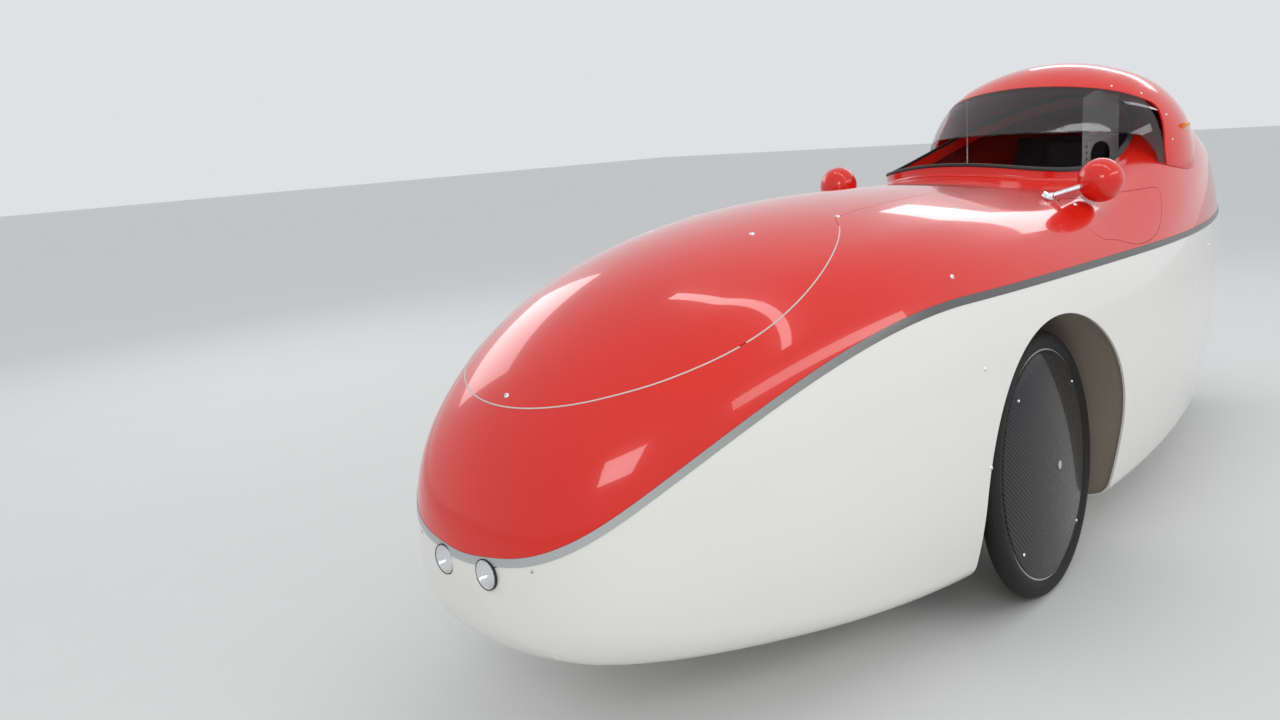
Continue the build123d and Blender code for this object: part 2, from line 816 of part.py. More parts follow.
for name, side in sides.items():
    centre, forward, outboard = axle_frame(side)
    plane = wheel_plane(centre, forward, outboard)
    foot, pin = kingpin(side)

    # Tunnel round the wheel, open below and to the side, with a slot for the lower arm
    with BuildPart() as wheel_box:
        add(arch(side, bay_inner_y - box_wall, bay_radius + bay_clear + box_wall, wide))
        add(arch(side, bay_inner_y, bay_radius + bay_clear, wide), mode=Mode.SUBTRACT)
        add(hull_inside, mode=Mode.INTERSECT)
        with Locations((kingpin_x, side * bay_inner_y, arm_z)):
            Box(arm_width + 2 * seat_gap, 4 * box_wall, arm_height + 2 * seat_gap, mode=Mode.SUBTRACT)
    keep(wheel_box, f"wheel_box_{name}")

    # Strut rod from the tunnel's roof down into the knuckle
    with BuildPart() as strut_rod:
        with BuildSketch(Plane(origin=foot + pin * rod_foot, z_dir=pin)):
            Circle(rod_radius)
        extrude(amount=strut_mount_foot - rod_foot + rod_radius)
        with BuildSketch(Plane(origin=foot + pin * strut_mount_foot, z_dir=pin)):
            Circle(strut_mount_radius)
        extrude(amount=wide)
        add(arch(side, 0, bay_radius + bay_clear, wide), mode=Mode.INTERSECT)
    keep(strut_rod, f"strut_rod_{name}")

    # Lower arm from the floor out to the kingpin's foot
    eye = foot + pin * arm_eye
    with BuildPart() as lower_arm:
        with Locations((kingpin_x, side * (arm_inner_y + eye.Y * side) / 2, arm_z)):
            Box(arm_width, eye.Y * side - arm_inner_y, arm_height)
        with Locations((kingpin_x, side * (arm_inner_y + arm_foot / 2), arm_z / 2)):
            Box(arm_width, arm_foot, arm_z)
        add(hull_inside, mode=Mode.INTERSECT)
        with BuildSketch(Plane(origin=eye, z_dir=pin)):
            Circle(arm_eye_radius)
        extrude(amount=arm_height / 2, both=True)
        with BuildSketch(Plane(origin=eye, z_dir=pin)):
            Circle(arm_pin_radius + run_clearance)
        extrude(amount=arm_height, both=True, mode=Mode.SUBTRACT)
    keep(lower_arm, f"lower_arm_{name}")

    # Knuckle: strut tube, stub axle, brake plate, steering arm and lower pin
    with BuildPart() as knuckle:
        with BuildSketch(Plane(origin=foot + pin * strut_foot, z_dir=pin)):
            Circle(strut_radius)
        extrude(amount=strut_top - strut_foot)
        with BuildSketch(Plane(origin=foot + pin * (arm_eye - arm_height / 2), z_dir=pin)):
            Circle(arm_pin_radius)
        extrude(amount=strut_foot - arm_eye + arm_height / 2)
        with BuildSketch(Plane(origin=centre - outboard * knuckle_offset, z_dir=outboard)):
            Circle(stub_radius)
        extrude(amount=knuckle_offset + stub_reach)
        with BuildSketch(Plane(origin=centre - outboard * (hub_inner + brake_depth), z_dir=outboard)):
            Circle(brake_radius)
        extrude(amount=brake_depth)
        with BuildSketch(Plane(origin=foot + pin * steer_arm_height, x_dir=forward, z_dir=pin)):
            with Locations((-steer_arm_length / 2, 0)):
                SlotOverall(steer_arm_length + steer_arm_width, steer_arm_width)
            with Locations((-steer_arm_length, 0)):
                Circle(steer_arm_hole, mode=Mode.SUBTRACT)
        extrude(amount=steer_arm_width / 2)
        with BuildSketch(Plane(origin=foot + pin * rod_foot, z_dir=pin)):
            Circle(rod_radius + rod_clearance)
        extrude(amount=strut_top - rod_foot, mode=Mode.SUBTRACT)
    keep(knuckle, f"knuckle_{name}")

    keep(tyre_solid(plane, outboard, tyre_radius, bead_radius, bead_half_width), f"front_tyre_{name}")

    # Wheel: rim, inner dish and hub in one
    with BuildPart() as wheel:
        with BuildSketch(plane):
            with BuildLine():
                Polyline(
                    (rim_inner, -bead_half_width),
                    (bead_radius, -bead_half_width),
                    (bead_radius, bead_half_width),
                    (rim_inner, bead_half_width),
                    close=True,
                )
            make_face()
            with BuildLine():
                Polyline(
                    (hub_radius, -hub_half),
                    (rim_inner, -bead_half_width),
                    (rim_inner, dish_wall - bead_half_width),
                    (hub_radius, dish_wall - hub_half),
                    close=True,
                )
            make_face()
            with BuildLine():
                Polyline(
                    (stub_radius + run_clearance, -hub_half),
                    (hub_radius, -hub_half),
                    (hub_radius, hub_reach),
                    (stub_radius + run_clearance, hub_reach),
                    close=True,
                )
            make_face()
        revolve(axis=Axis(centre, outboard))
        with BuildSketch(Plane(origin=centre + outboard * hub_reach, z_dir=outboard)):
            Circle(hub_radius)
        extrude(amount=hub_cap)
        with BuildSketch(Plane(origin=centre + outboard * hub_reach, z_dir=outboard)):
            Circle(disc_hole - seat_gap)
        extrude(amount=disc_crown + cap_proud - hub_reach)
    keep(wheel, f"front_wheel_{name}")

    # Bulged cover disc on the outside of the wheel
    with BuildPart() as disc:
        with BuildSketch(plane):
            with BuildLine():
                ThreePointArc(
                    (disc_hole, disc_crown),
                    (disc_bulge_out, disc_crown - disc_bulge),
                    (disc_radius, bead_half_width + disc_wall),
                )
                Polyline(
                    (disc_radius, bead_half_width + disc_wall),
                    (disc_radius, bead_half_width),
                    (rim_inner, bead_half_width),
                )
                ThreePointArc(
                    (rim_inner, bead_half_width),
                    (disc_bulge_in, disc_crown - disc_bulge - disc_wall),
                    (disc_hole, disc_crown - disc_wall),
                )
                Line((disc_hole, disc_crown - disc_wall), (disc_hole, disc_crown))
            make_face()
        revolve(axis=Axis(centre, outboard))
    keep(disc, f"wheel_disc_{name}")

# Rear wheel on its swinging arm inside the tail
rear_centre = Vector(rear_axle_x, 0, rear_radius)
rear_axis = Vector(0, 1, 0)
rear_plane = wheel_plane(rear_centre, Vector(1, 0, 0), rear_axis)
keep(tyre_solid(rear_plane, rear_axis, rear_radius, rear_bead_radius, rear_bead_half_width), "rear_tyre")

with BuildPart() as rear_wheel:
    with BuildSketch(rear_plane):
        with Locations(((rear_rim_inner + rear_bead_radius) / 2, 0)):
            Rectangle(rear_bead_radius - rear_rim_inner, 2 * rear_bead_half_width)
        with Locations(((rear_pin_radius + run_clearance + rear_hub_radius) / 2, 0)):
            Rectangle(rear_hub_radius - rear_pin_radius - run_clearance, 2 * rear_hub_half)
        with Locations(((rear_hub_radius + rear_rim_inner) / 2, 0)):
            Rectangle(rear_rim_inner - rear_hub_radius, dish_wall)
    revolve(axis=Axis(rear_centre, rear_axis))
keep(rear_wheel, "rear_wheel")

with BuildPart() as swingarm:
    with BuildSketch(Plane.XZ):
        with BuildLine():
            Line((rear_axle_x, rear_radius), (pivot_x, pivot_z))
        trace(line_width=swing_width)
        with Locations((rear_axle_x, rear_radius), (pivot_x, pivot_z)):
            Circle(swing_width / 2)
    extrude(amount=swing_half + swing_wall, both=True)
    with Locations((rear_axle_x, 0, rear_radius)):
        Box(4 * rear_radius, 2 * swing_half, 4 * rear_radius, mode=Mode.SUBTRACT)
    with BuildSketch(cross_plane(pivot_x, -swing_half - swing_wall, pivot_z)):
        Circle(pivot_radius)
    extrude(amount=2 * (swing_half + swing_wall))
    with BuildSketch(cross_plane(rear_axle_x, -swing_half - swing_wall, rear_radius)):
        Circle(rear_pin_radius)
    extrude(amount=2 * (swing_half + swing_wall))
    with Locations((pivot_x, 0, pivot_z / 2)):
        Box(2 * pivot_radius, 2 * swing_half, pivot_z)
    add(hull_inside, mode=Mode.INTERSECT)
keep(swingarm, "rear_swingarm")


def seat_line(points):
    """Side line of the seat, rounded where it turns."""
    if len(points) > 2:
        FilletPolyline(*points, radius=seat_round)
    else:
        Polyline(*points)


def cushion(points, width, thickness):
    """A pad that lies on the upper side of a stretch of the seat."""
    first, last = points[0], points[-1]
    with BuildPart() as pad:
        with BuildSketch(Plane.XZ):
            with BuildLine() as run:
                seat_line(points)
            trace(run.line, line_width=seat_wall + 2 * seat_gap + 2 * thickness)
            with BuildLine():
                seat_line(points)
                Polyline(last, (last[0] - wide, last[1]), (last[0] - wide, 0), (first[0] + wide, 0), first)
            make_face(mode=Mode.SUBTRACT)
            trace(run.line, line_width=seat_wall + 2 * seat_gap, mode=Mode.SUBTRACT)
        extrude(amount=width / 2, both=True)
        add(hull_inside, mode=Mode.INTERSECT)
    return pad


with BuildPart() as seat_shell:
    with BuildSketch(Plane.XZ):
        with BuildLine() as run:
            seat_line(seat_points)
        trace(run.line, line_width=seat_wall)
    extrude(amount=seat_width / 2, both=True)
    add(hull_solid(wall + seat_gap), mode=Mode.INTERSECT)
keep(seat_shell, "seat_shell")
keep(cushion(seat_points[:-1], seat_width - 2 * pad_margin, pad_thickness), "seat_pad")
keep(cushion(headrest_points, headrest_width, headrest_thickness), "headrest")

# Tiller: a column from the floor with a bent bar on top, in a socket on the floor
tiller_foot = Vector(tiller_foot_x, 0, tiller_foot_z)
tiller_top = Vector(tiller_top_x, 0, tiller_top_z)
tiller_run = (tiller_top - tiller_foot).normalized()
bar_ends = [(tiller_top_x - bar_rake, turn * bar_half, tiller_top_z + bar_rise) for turn in (1, -1)]
bar_feet = [(tiller_top_x, turn * bar_half, tiller_top_z) for turn in (1, -1)]
with BuildPart() as tiller:
    with BuildSketch(Plane(origin=tiller_foot + tiller_run * socket_depth, z_dir=tiller_run)):
        Circle(column_radius)
    extrude(amount=(tiller_top - tiller_foot).length - socket_depth)
    with BuildSketch(Plane(origin=tiller_foot, z_dir=tiller_run)):
        Circle(column_pin_radius)
    extrude(amount=socket_depth)
    with BuildLine() as bar:
        FilletPolyline(bar_ends[0], bar_feet[0], bar_feet[1], bar_ends[1], radius=bar_round)
    with BuildSketch(Plane(origin=bar_ends[0], z_dir=bar.line % 0)):
        Circle(bar_radius)
    sweep()
keep(tiller, "tiller")

bar_axis = (Vector(*bar_ends[0]) - Vector(*bar_feet[0])).normalized()
with BuildPart() as grips:
    for end in bar_ends:
        with BuildSketch(Plane(origin=Vector(*end), z_dir=bar_axis)):
            Circle(grip_radius)
            Circle(bar_radius + run_clearance, mode=Mode.SUBTRACT)
        extrude(amount=-grip_length)
keep(grips, "tiller_grips")

with BuildPart() as socket:
    with BuildSketch(Plane(origin=tiller_foot, z_dir=tiller_run)):
        Circle(socket_radius)
    extrude(amount=socket_depth - seat_gap)
    with Locations((tiller_foot_x, 0, tiller_foot_z / 2)):
        Box(2 * socket_radius, 2 * socket_radius, tiller_foot_z)
    with BuildSketch(Plane(origin=tiller_foot, z_dir=tiller_run)):
        Circle(column_pin_radius + run_clearance)
    extrude(amount=socket_depth, mode=Mode.SUBTRACT)
    add(hull_inside, mode=Mode.INTERSECT)
keep(socket, "tiller_socket")
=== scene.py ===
# %% [markdown]
# # A fully faired velomobile
# The real vehicle is a recumbent tricycle inside a thin laminate shell: a white lower half, a red upper
# half and a grey band over the joint between them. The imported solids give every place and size. This
# lesson rebuilds the polished skins as smooth surfaces, dresses every piece and lights it.

import bmesh
import bpy
import numpy as np
from mathutils import Matrix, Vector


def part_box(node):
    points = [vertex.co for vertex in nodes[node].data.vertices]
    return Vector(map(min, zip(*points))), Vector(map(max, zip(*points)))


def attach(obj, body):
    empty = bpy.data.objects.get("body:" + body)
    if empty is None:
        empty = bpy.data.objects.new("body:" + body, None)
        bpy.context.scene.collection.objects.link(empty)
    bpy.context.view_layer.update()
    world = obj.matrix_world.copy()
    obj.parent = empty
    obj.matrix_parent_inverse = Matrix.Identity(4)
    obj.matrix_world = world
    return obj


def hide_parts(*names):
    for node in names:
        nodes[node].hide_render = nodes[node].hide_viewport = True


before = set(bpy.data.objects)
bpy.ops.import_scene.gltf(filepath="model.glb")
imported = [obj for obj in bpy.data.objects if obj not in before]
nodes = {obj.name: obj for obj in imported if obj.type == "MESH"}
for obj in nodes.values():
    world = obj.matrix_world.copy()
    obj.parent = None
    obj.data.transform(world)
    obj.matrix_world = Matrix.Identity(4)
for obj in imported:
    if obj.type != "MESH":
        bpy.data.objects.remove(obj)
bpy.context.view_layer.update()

# %% [markdown]
# ## Meshes from arrays
# Every new piece is a grid of points worked out with numpy, because a formula gives a polished skin far
# smoother than the triangles of a solid. These helpers turn arrays into objects at the origin.

# %% Grids, turned forms and objects
mm = 0.001


def grid_quads(rows, columns, start=0, close_rows=False, close_columns=False):
    """Corner numbers of a grid's quads; closing joins the last row or column to the first."""
    row, column = np.meshgrid(
        np.arange(rows if close_rows else rows - 1),
        np.arange(columns if close_columns else columns - 1),
        indexing="ij",
    )
    after, beside = (row + 1) % rows, (column + 1) % columns
    corners = (row * columns + column, after * columns + column, after * columns + beside, row * columns + beside)
    return start + np.stack(corners, -1).reshape(-1, 4)


def unit(vectors):
    """Vectors of length one, in the same directions."""
    return vectors / np.maximum(np.linalg.norm(vectors, axis=-1, keepdims=True), 1e-12)


def new_piece(name, points, groups, body, slot, finish, stands_for=(), uv=None, normals=None):
    """An object at the origin, riding on a body, with a finish, in place of the nodes it stands for.

    Each group is an array of faces with equal corners, uv is per point and normals per face corner.
    """
    mesh = bpy.data.meshes.new(name)
    mesh.from_pydata(points.reshape(-1, 3).tolist(), [], [face for group in groups for face in group.tolist()])
    mesh.polygons.foreach_set("use_smooth", np.ones(len(mesh.polygons), bool))
    if uv is not None:
        corner = np.empty(len(mesh.loops), np.int32)
        mesh.loops.foreach_get("vertex_index", corner)
        mesh.uv_layers.new(name="weave").data.foreach_set("uv", uv.reshape(-1, 2)[corner].ravel())
    if normals is None:
        whole = bmesh.new()
        whole.from_mesh(mesh)
        bmesh.ops.remove_doubles(whole, verts=whole.verts, dist=1e-6)
        bmesh.ops.recalc_face_normals(whole, faces=whole.faces)
        whole.to_mesh(mesh)
        whole.free()
        mesh.set_sharp_from_angle(angle=np.radians(38))
    else:
        mesh.normals_split_custom_set(normals.tolist())
    piece = bpy.data.objects.new(name, mesh)
    bpy.context.scene.collection.objects.link(piece)
    mesh.materials.append(finish)
    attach(piece, body)
    if stands_for:
        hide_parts(*stands_for)
    print(f"{name}: {len(mesh.polygons)} faces")
    return piece


def joined(parts):
    """Several (points, groups) as one, the face numbers of each moved past the points before it."""
    points, groups, count = [], [], 0
    for part_points, part_groups in parts:
        flat = part_points.reshape(-1, 3)
        points.append(flat)
        groups += [group + count for group in part_groups]
        count += len(flat)
    return np.concatenate(points), groups


def cross_axes(axis):
    """The axis at length one, and two unit vectors square to it and to each other."""
    axis = unit(np.asarray(axis, float))
    helper = np.array((0.0, 0.0, 1.0)) if abs(axis[2]) < 0.9 else np.array((1.0, 0.0, 0.0))
    first = unit(np.cross(helper, axis))
    return axis, first, np.cross(axis, first)


def turned(profile, centre, axis, steps=64, closed=False):
    """A profile of (radius, height) carried round an axis: centre + radius * (cos t, sin t) + height * axis."""
    axis, first, second = cross_axes(axis)
    profile = np.asarray(profile, float)
    turn = np.linspace(0, 2 * np.pi, steps, endpoint=False)[:, None]
    ring = np.cos(turn) * first + np.sin(turn) * second
    points = np.asarray(centre) + profile[:, 0, None, None] * ring + profile[:, 1, None, None] * axis
    return points, [grid_quads(len(profile), steps, close_rows=closed, close_columns=True)]


def tube(path, radii, steps=20):
    """A round rod along a path: at each point a circle square to the path, its ends drawn to a point."""
    path = np.asarray(path, float)
    along = unit(np.gradient(path, axis=0))
    radii = np.broadcast_to(radii, len(path))
    path = np.concatenate((path[:1], path, path[-1:]))
    along = np.concatenate((along[:1], along, along[-1:]))
    radii = np.concatenate(([0.0], radii, [0.0]))
    helper = np.where(np.abs(along[:, 2:]) < 0.9, (0.0, 0.0, 1.0), (1.0, 0.0, 0.0))
    first = unit(np.cross(helper, along))
    second = np.cross(along, first)
    turn = np.linspace(0, 2 * np.pi, steps, endpoint=False)[None, :, None]
    ring = np.cos(turn) * first[:, None] + np.sin(turn) * second[:, None]
    return path[:, None] + radii[:, None, None] * ring, [grid_quads(len(path), steps, close_columns=True)]


# %% [markdown]
# ## Finishes
# Each finish is a small node tree on the object's own coordinates, which are metres here, so a pattern keeps
# its real size. A laminate shell is gelcoat under polish: a strong clear coat, a little waviness left by
# hand lay-up, and faint dust that dulls the shine.


# %% A shader and its nodes
def finish(name, colour, roughness, **sockets):
    """A named material whose principled shader has these values on its own sockets."""
    material = bpy.data.materials.new(name)
    material.use_nodes = True
    shader = material.node_tree.nodes["Principled BSDF"]
    shader.inputs["Base Color"].default_value = (*colour, 1)
    shader.inputs["Roughness"].default_value = roughness
    for socket, value in sockets.items():
        shader.inputs[socket.replace("_", " ").title().replace("Ior", "IOR")].default_value = value
    return material


def node(material, kind, *feeds, **settings):
    """A new node with its settings, each feed a (socket, value or other node's output) pair."""
    made = material.node_tree.nodes.new(kind)
    for key, value in settings.items():
        setattr(made, key, value)
    for socket, value in feeds:
        if isinstance(value, bpy.types.NodeSocket):
            material.node_tree.links.new(value, made.inputs[socket])
        else:
            made.inputs[socket].default_value = value
    return made


def feed(material, socket, output):
    """Link a node's output to a socket of the material's principled shader."""
    material.node_tree.links.new(output, material.node_tree.nodes["Principled BSDF"].inputs[socket])


def place(material, coordinate="Object"):
    """The coordinate output that a pattern reads."""
    return node(material, "ShaderNodeTexCoord").outputs[coordinate]


def noise(material, scale, detail=3.0, rough=0.5, where=None):
    """Soft random pattern with so many cells to the metre."""
    where = where or place(material)
    feeds = (("Vector", where), ("Scale", scale), ("Detail", detail), ("Roughness", rough))
    return node(material, "ShaderNodeTexNoise", *feeds).outputs["Fac"]


def spread(material, value, low, high):
    """A pattern from 0 to 1 mapped to a range."""
    feeds = (("Value", value), ("To Min", low), ("To Max", high))
    return node(material, "ShaderNodeMapRange", *feeds).outputs["Result"]


def blend(material, share, first, second):
    """Mix of two colours by a share."""
    mix = node(material, "ShaderNodeMix", data_type="RGBA")
    for socket, value in ((mix.inputs[0], share), (mix.inputs[6], first), (mix.inputs[7], second)):
        if isinstance(value, bpy.types.NodeSocket):
            material.node_tree.links.new(value, socket)
        else:
            socket.default_value = (*value, 1) if isinstance(value, tuple) else value
    return mix.outputs[2]


def bump(material, height, distance, strength=1.0):
    """Bump of so many metres from a height pattern, fed to the shader."""
    feeds = (("Height", height), ("Distance", distance), ("Strength", strength))
    feed(material, "Normal", node(material, "ShaderNodeBump", *feeds).outputs["Normal"])


def math(material, operation, first, second=0.0):
    """One arithmetic step between numbers or outputs."""
    return node(material, "ShaderNodeMath", (0, first), (1, second), operation=operation).outputs[0]


# %% Gelcoat, band, rubber, metals and glass
def gelcoat(name, colour, deep):
    """Polished gelcoat: faint cloud in the colour, long waves from lay-up, dust that dulls the coat."""
    made = finish(name, colour, 0.22, coat_weight=0.9, coat_roughness=0.03, coat_ior=1.42, specular_ior_level=0.2)
    feed(made, "Base Color", blend(made, noise(made, 3.0), colour, deep))
    feed(made, "Roughness", spread(made, noise(made, 14.0, 5.0), 0.16, 0.30))
    waves = math(made, "ADD", noise(made, 9.0, 1.0), math(made, "MULTIPLY", noise(made, 420.0, 1.0), 0.03))
    bump(made, waves, 0.0009)
    return made


def plain(name, colour, roughness, grain, depth, **sockets):
    """A plain finish with a fine grain: so many cells to the metre, so deep in metres."""
    made = finish(name, colour, roughness, **sockets)
    grains = noise(made, grain, 4.0, 0.6)
    darker, paler = (tuple(min(1, share * part) for part in colour) for share in (0.8, 1.2))
    feed(made, "Base Color", blend(made, grains, darker, paler))
    feed(made, "Roughness", spread(made, noise(made, grain / 3), 0.8 * roughness, min(1, 1.25 * roughness)))
    bump(made, grains, depth)
    return made


def band_finish():
    """Satin strip over the joint, with painted light: pale where it wraps the nose, darker along the flank."""
    made = finish("joint_strip_painted_light", (0.1, 0.1, 0.1), 0.35, coat_weight=0.4, coat_roughness=0.15)
    along = node(made, "ShaderNodeSeparateXYZ", ("Vector", place(made))).outputs["X"]
    feeds = (("Value", along), ("From Min", 0.75), ("From Max", 1.3))
    share = node(made, "ShaderNodeMapRange", *feeds).outputs["Result"]
    grain = noise(made, 600.0, 3.0)
    # painted light and shade: the one strip runs from dark on the flank to pale at the nose, with a fine grain
    painted_light_and_grain = math(made, "ADD", math(made, "MULTIPLY", share, 0.8), math(made, "MULTIPLY", grain, 0.2))
    feed(made, "Base Color", blend(made, painted_light_and_grain, (0.035, 0.035, 0.037), (0.46, 0.47, 0.47)))
    bump(made, grain, 0.0002)
    return made


def weave(name):
    """Twill of carbon tows under clear coat: tow i over tow j where (i + j) mod 4 is below 2."""
    tow = 0.0022
    clear_coat = dict(coat_weight=0.5, coat_roughness=0.03, coat_ior=1.35)
    made = finish(name, (0.02, 0.02, 0.022), 0.3, specular_ior_level=0.08, **clear_coat)
    split = node(made, "ShaderNodeSeparateXYZ", ("Vector", place(made, "UV")))
    across = math(made, "DIVIDE", split.outputs["X"], tow)
    along = math(made, "DIVIDE", split.outputs["Y"], tow)
    count = math(made, "ADD", math(made, "FLOOR", across), math(made, "FLOOR", along))
    over = math(made, "LESS_THAN", math(made, "FLOORED_MODULO", count, 4.0), 2.0)
    warp = math(made, "SINE", math(made, "MULTIPLY", math(made, "FRACT", across), np.pi))
    weft = math(made, "SINE", math(made, "MULTIPLY", math(made, "FRACT", along), np.pi))
    height = node(made, "ShaderNodeMix", (0, over), (2, weft), (3, warp)).outputs[0]
    feed(made, "Base Color", blend(made, over, (0.006, 0.006, 0.007), (0.034, 0.034, 0.036)))
    feed(made, "Roughness", spread(made, over, 0.24, 0.42))
    bump(made, height, 0.0002, 0.6)
    return made


red = gelcoat("red_gelcoat", (0.74, 0.020, 0.010), (0.66, 0.016, 0.008))
white = gelcoat("white_gelcoat", (0.80, 0.785, 0.755), (0.76, 0.745, 0.71))
strip = band_finish()
carbon = weave("carbon_weave")
rubber = plain("black_rubber", (0.022, 0.022, 0.023), 0.55, 500.0, 0.0001)
tread = plain("tyre_rubber", (0.013, 0.013, 0.013), 0.62, 900.0, 0.0002, specular_ior_level=0.3)
chrome = plain("bright_chrome", (0.82, 0.82, 0.83), 0.06, 40.0, 0.00002, metallic=1.0)
steel = plain("ground_steel", (0.55, 0.55, 0.57), 0.25, 300.0, 0.00003, metallic=1.0)
alloy = plain("satin_alloy", (0.62, 0.62, 0.64), 0.34, 260.0, 0.00005, metallic=1.0)
black_alloy = plain("black_anodised", (0.03, 0.03, 0.032), 0.42, 400.0, 0.00006, metallic=0.6)
laminate = plain("bare_laminate", (0.27, 0.23, 0.18), 0.7, 260.0, 0.0004)
smoked = plain("smoked_sheet", (0.020, 0.021, 0.024), 0.06, 30.0, 0.00003, alpha=0.36, coat_weight=1.0)
clear = plain("clear_sheet", (0.82, 0.86, 0.88), 0.05, 30.0, 0.00002, alpha=0.28, coat_weight=1.0)
lens = plain("clear_lens", (0.92, 0.94, 0.96), 0.03, 60.0, 0.00002, alpha=0.22, coat_weight=1.0)
amber = plain("amber_lens", (0.80, 0.26, 0.012), 0.18, 900.0, 0.0001, coat_weight=0.8)
tail_red = plain("red_lens", (0.42, 0.008, 0.008), 0.16, 700.0, 0.0001, coat_weight=1.0)
mirror = plain("mirror_glass", (0.9, 0.91, 0.92), 0.02, 20.0, 0.00001, metallic=1.0)
laminate_black = plain("black_laminate", (0.03, 0.03, 0.032), 0.45, 320.0, 0.0003, coat_weight=0.4)
pale_edge = plain("pale_edge_strip", (0.62, 0.60, 0.57), 0.5, 500.0, 0.0001)
mesh_cloth = plain("spacer_mesh", (0.035, 0.035, 0.038), 0.85, 420.0, 0.0012)
print("finishes:", len(bpy.data.materials))

# %% [markdown]
# ## The hull as one formula
# The shell is drawn by sections, as a boat is: half width, keel, widest line and crown, with two corner
# radii. A cubic curve carries each column of the table along the hull, and each quarter of a section is
# three arcs that meet without a kink. The same table drives the solids, so every panel lies on them.

# %% Hull table and its curve
crown_angle, floor_angle, flank_angle = np.radians((22, 14, 14))
cap_span = 0.02
hull_table = mm * np.array([  # place, half width, keel, widest line, crown, bilge radius, shoulder radius
    (1379, 24, 264, 289, 314, 12, 12),
    (1374, 64, 231, 288, 343, 34, 34),
    (1360, 128, 190, 285, 390, 68, 72),
    (1325, 190, 156, 280, 457, 85, 107),
    (1240, 256, 130, 280, 545, 80, 145),
    (1100, 315, 110, 288, 630, 66, 180),
    (900, 360, 86, 305, 694, 50, 200),
    (650, 384, 66, 330, 723, 40, 205),
    (350, 393, 60, 355, 722, 40, 205),
    (0, 388, 64, 375, 735, 45, 210),
    (-350, 353, 80, 395, 820, 60, 235),
    (-700, 275, 112, 410, 845, 70, 190),
    (-1050, 158, 186, 425, 738, 60, 105),
    (-1300, 58, 275, 440, 610, 30, 38),
    (-1375, 32, 340, 445, 550, 14, 14),
])


def smooth_rows(table, count):
    """The table's rows on a cubic curve by plan chord length, evenly re-spaced.

    The curve's second derivatives solve the usual three-term rows, with an even third derivative at the ends.
    """
    step = np.hypot(*np.diff(table[:, :2], axis=0).T)
    knots = np.concatenate(([0], np.cumsum(step)))
    size = len(knots)
    system = np.zeros((size, size))
    slope = np.diff(table, axis=0) / step[:, None]
    middle = np.arange(1, size - 1)
    system[middle, middle - 1] = step[:-1]
    system[middle, middle] = 2 * (step[:-1] + step[1:])
    system[middle, middle + 1] = step[1:]
    system[0, :3] = step[1], -step[0] - step[1], step[0]
    system[-1, -3:] = step[-1], -step[-1] - step[-2], step[-2]
    bend = np.linalg.solve(system, np.vstack((0 * table[:1], 6 * np.diff(slope, axis=0), 0 * table[:1])))
    place_on = np.linspace(0, knots[-1], count)
    cell = np.clip(np.searchsorted(knots, place_on) - 1, 0, size - 2)
    ahead = (knots[cell + 1] - place_on)[:, None]
    behind = (place_on - knots[cell])[:, None]
    width = step[cell][:, None]
    curved = (bend[cell] * ahead**3 + bend[cell + 1] * behind**3) / (6 * width)
    first = (table[cell] / width - bend[cell] * width / 6) * ahead
    second = (table[cell + 1] / width - bend[cell + 1] * width / 6) * behind
    return curved + first + second


def rows_at(fine, u):
    """Every column of a fine table at a share u of its length."""
    spot = np.clip(u, 0, 1) * (len(fine) - 1)
    low = np.minimum(spot.astype(int), len(fine) - 2)
    share = (spot - low)[..., None]
    return np.moveaxis(fine[low] * (1 - share) + fine[low + 1] * share, -1, 0)


def quarter_radii(reach, rise, corner, crown, flank):
    """Radii of the crown and flank arcs that a corner arc joins without a kink."""
    across = reach - corner * (np.cos(flank) - np.sin(crown))
    up = rise - corner * (np.cos(crown) - np.sin(flank))
    scale = np.sin(crown) * np.sin(flank) - (1 - np.cos(crown)) * (1 - np.cos(flank))
    wide = (across * np.sin(flank) - up * (1 - np.cos(flank))) / scale
    tall = (up * np.sin(crown) - across * (1 - np.cos(crown))) / scale
    return wide, tall


def quarter(reach, rise, corner, crown, flank, share):
    """Point at a share, by length, of three arcs from the crown (0, rise) to the flank (reach, 0)."""
    wide, tall = quarter_radii(reach, rise, corner, crown, flank)
    turn = np.pi / 2 - crown - flank
    run = share * (wide * crown + corner * turn + tall * flank)
    first = np.clip(run / wide, 0, crown)
    second = crown + np.clip((run - wide * crown) / corner, 0, turn)
    third = crown + turn + np.clip((run - wide * crown - corner * turn) / tall, 0, flank)
    out = wide * np.sin(first) + corner * (np.sin(second) - np.sin(crown)) + tall * (np.sin(third) - np.cos(flank))
    down = wide * (1 - np.cos(first)) + corner * (np.cos(crown) - np.cos(second))
    return out, rise - down - tall * (np.sin(flank) - np.cos(third))


hull_fine = smooth_rows(hull_table, 1601)


def hull(u, v):
    """Hull skin: u runs from nose to tail, v from the crown (0) by the widest line (1) to the keel (2).

    Below zero v is the right side; past the keel it comes up on the right. Beyond u 0 and 1 the end
    section shrinks to a point.
    """
    x, half, keel, widest, crown, bilge, shoulder = rows_at(hull_fine, u)
    side = np.where((v < 0) != (np.abs(v) > 2), -1.0, 1.0)
    turn = np.where(np.abs(v) > 2, 4 - np.abs(v), np.abs(v))
    top = quarter(half, crown - widest, shoulder, crown_angle, flank_angle, np.clip(turn, 0, 1))
    low = quarter(half, widest - keel, bilge, floor_angle, flank_angle, np.clip(2 - turn, 0, 1))
    out = np.where(turn < 1, top[0], low[0])
    up = np.where(turn < 1, top[1], -low[1])
    beyond = np.maximum(-u, u - 1)
    shrink = np.clip(1 - beyond / cap_span, 0, 1)
    swell = mm * (1 - shrink**2) * np.where(u < 0.5, 1, -1)
    return np.stack((x + swell, side * out * shrink, widest + up * shrink), -1)


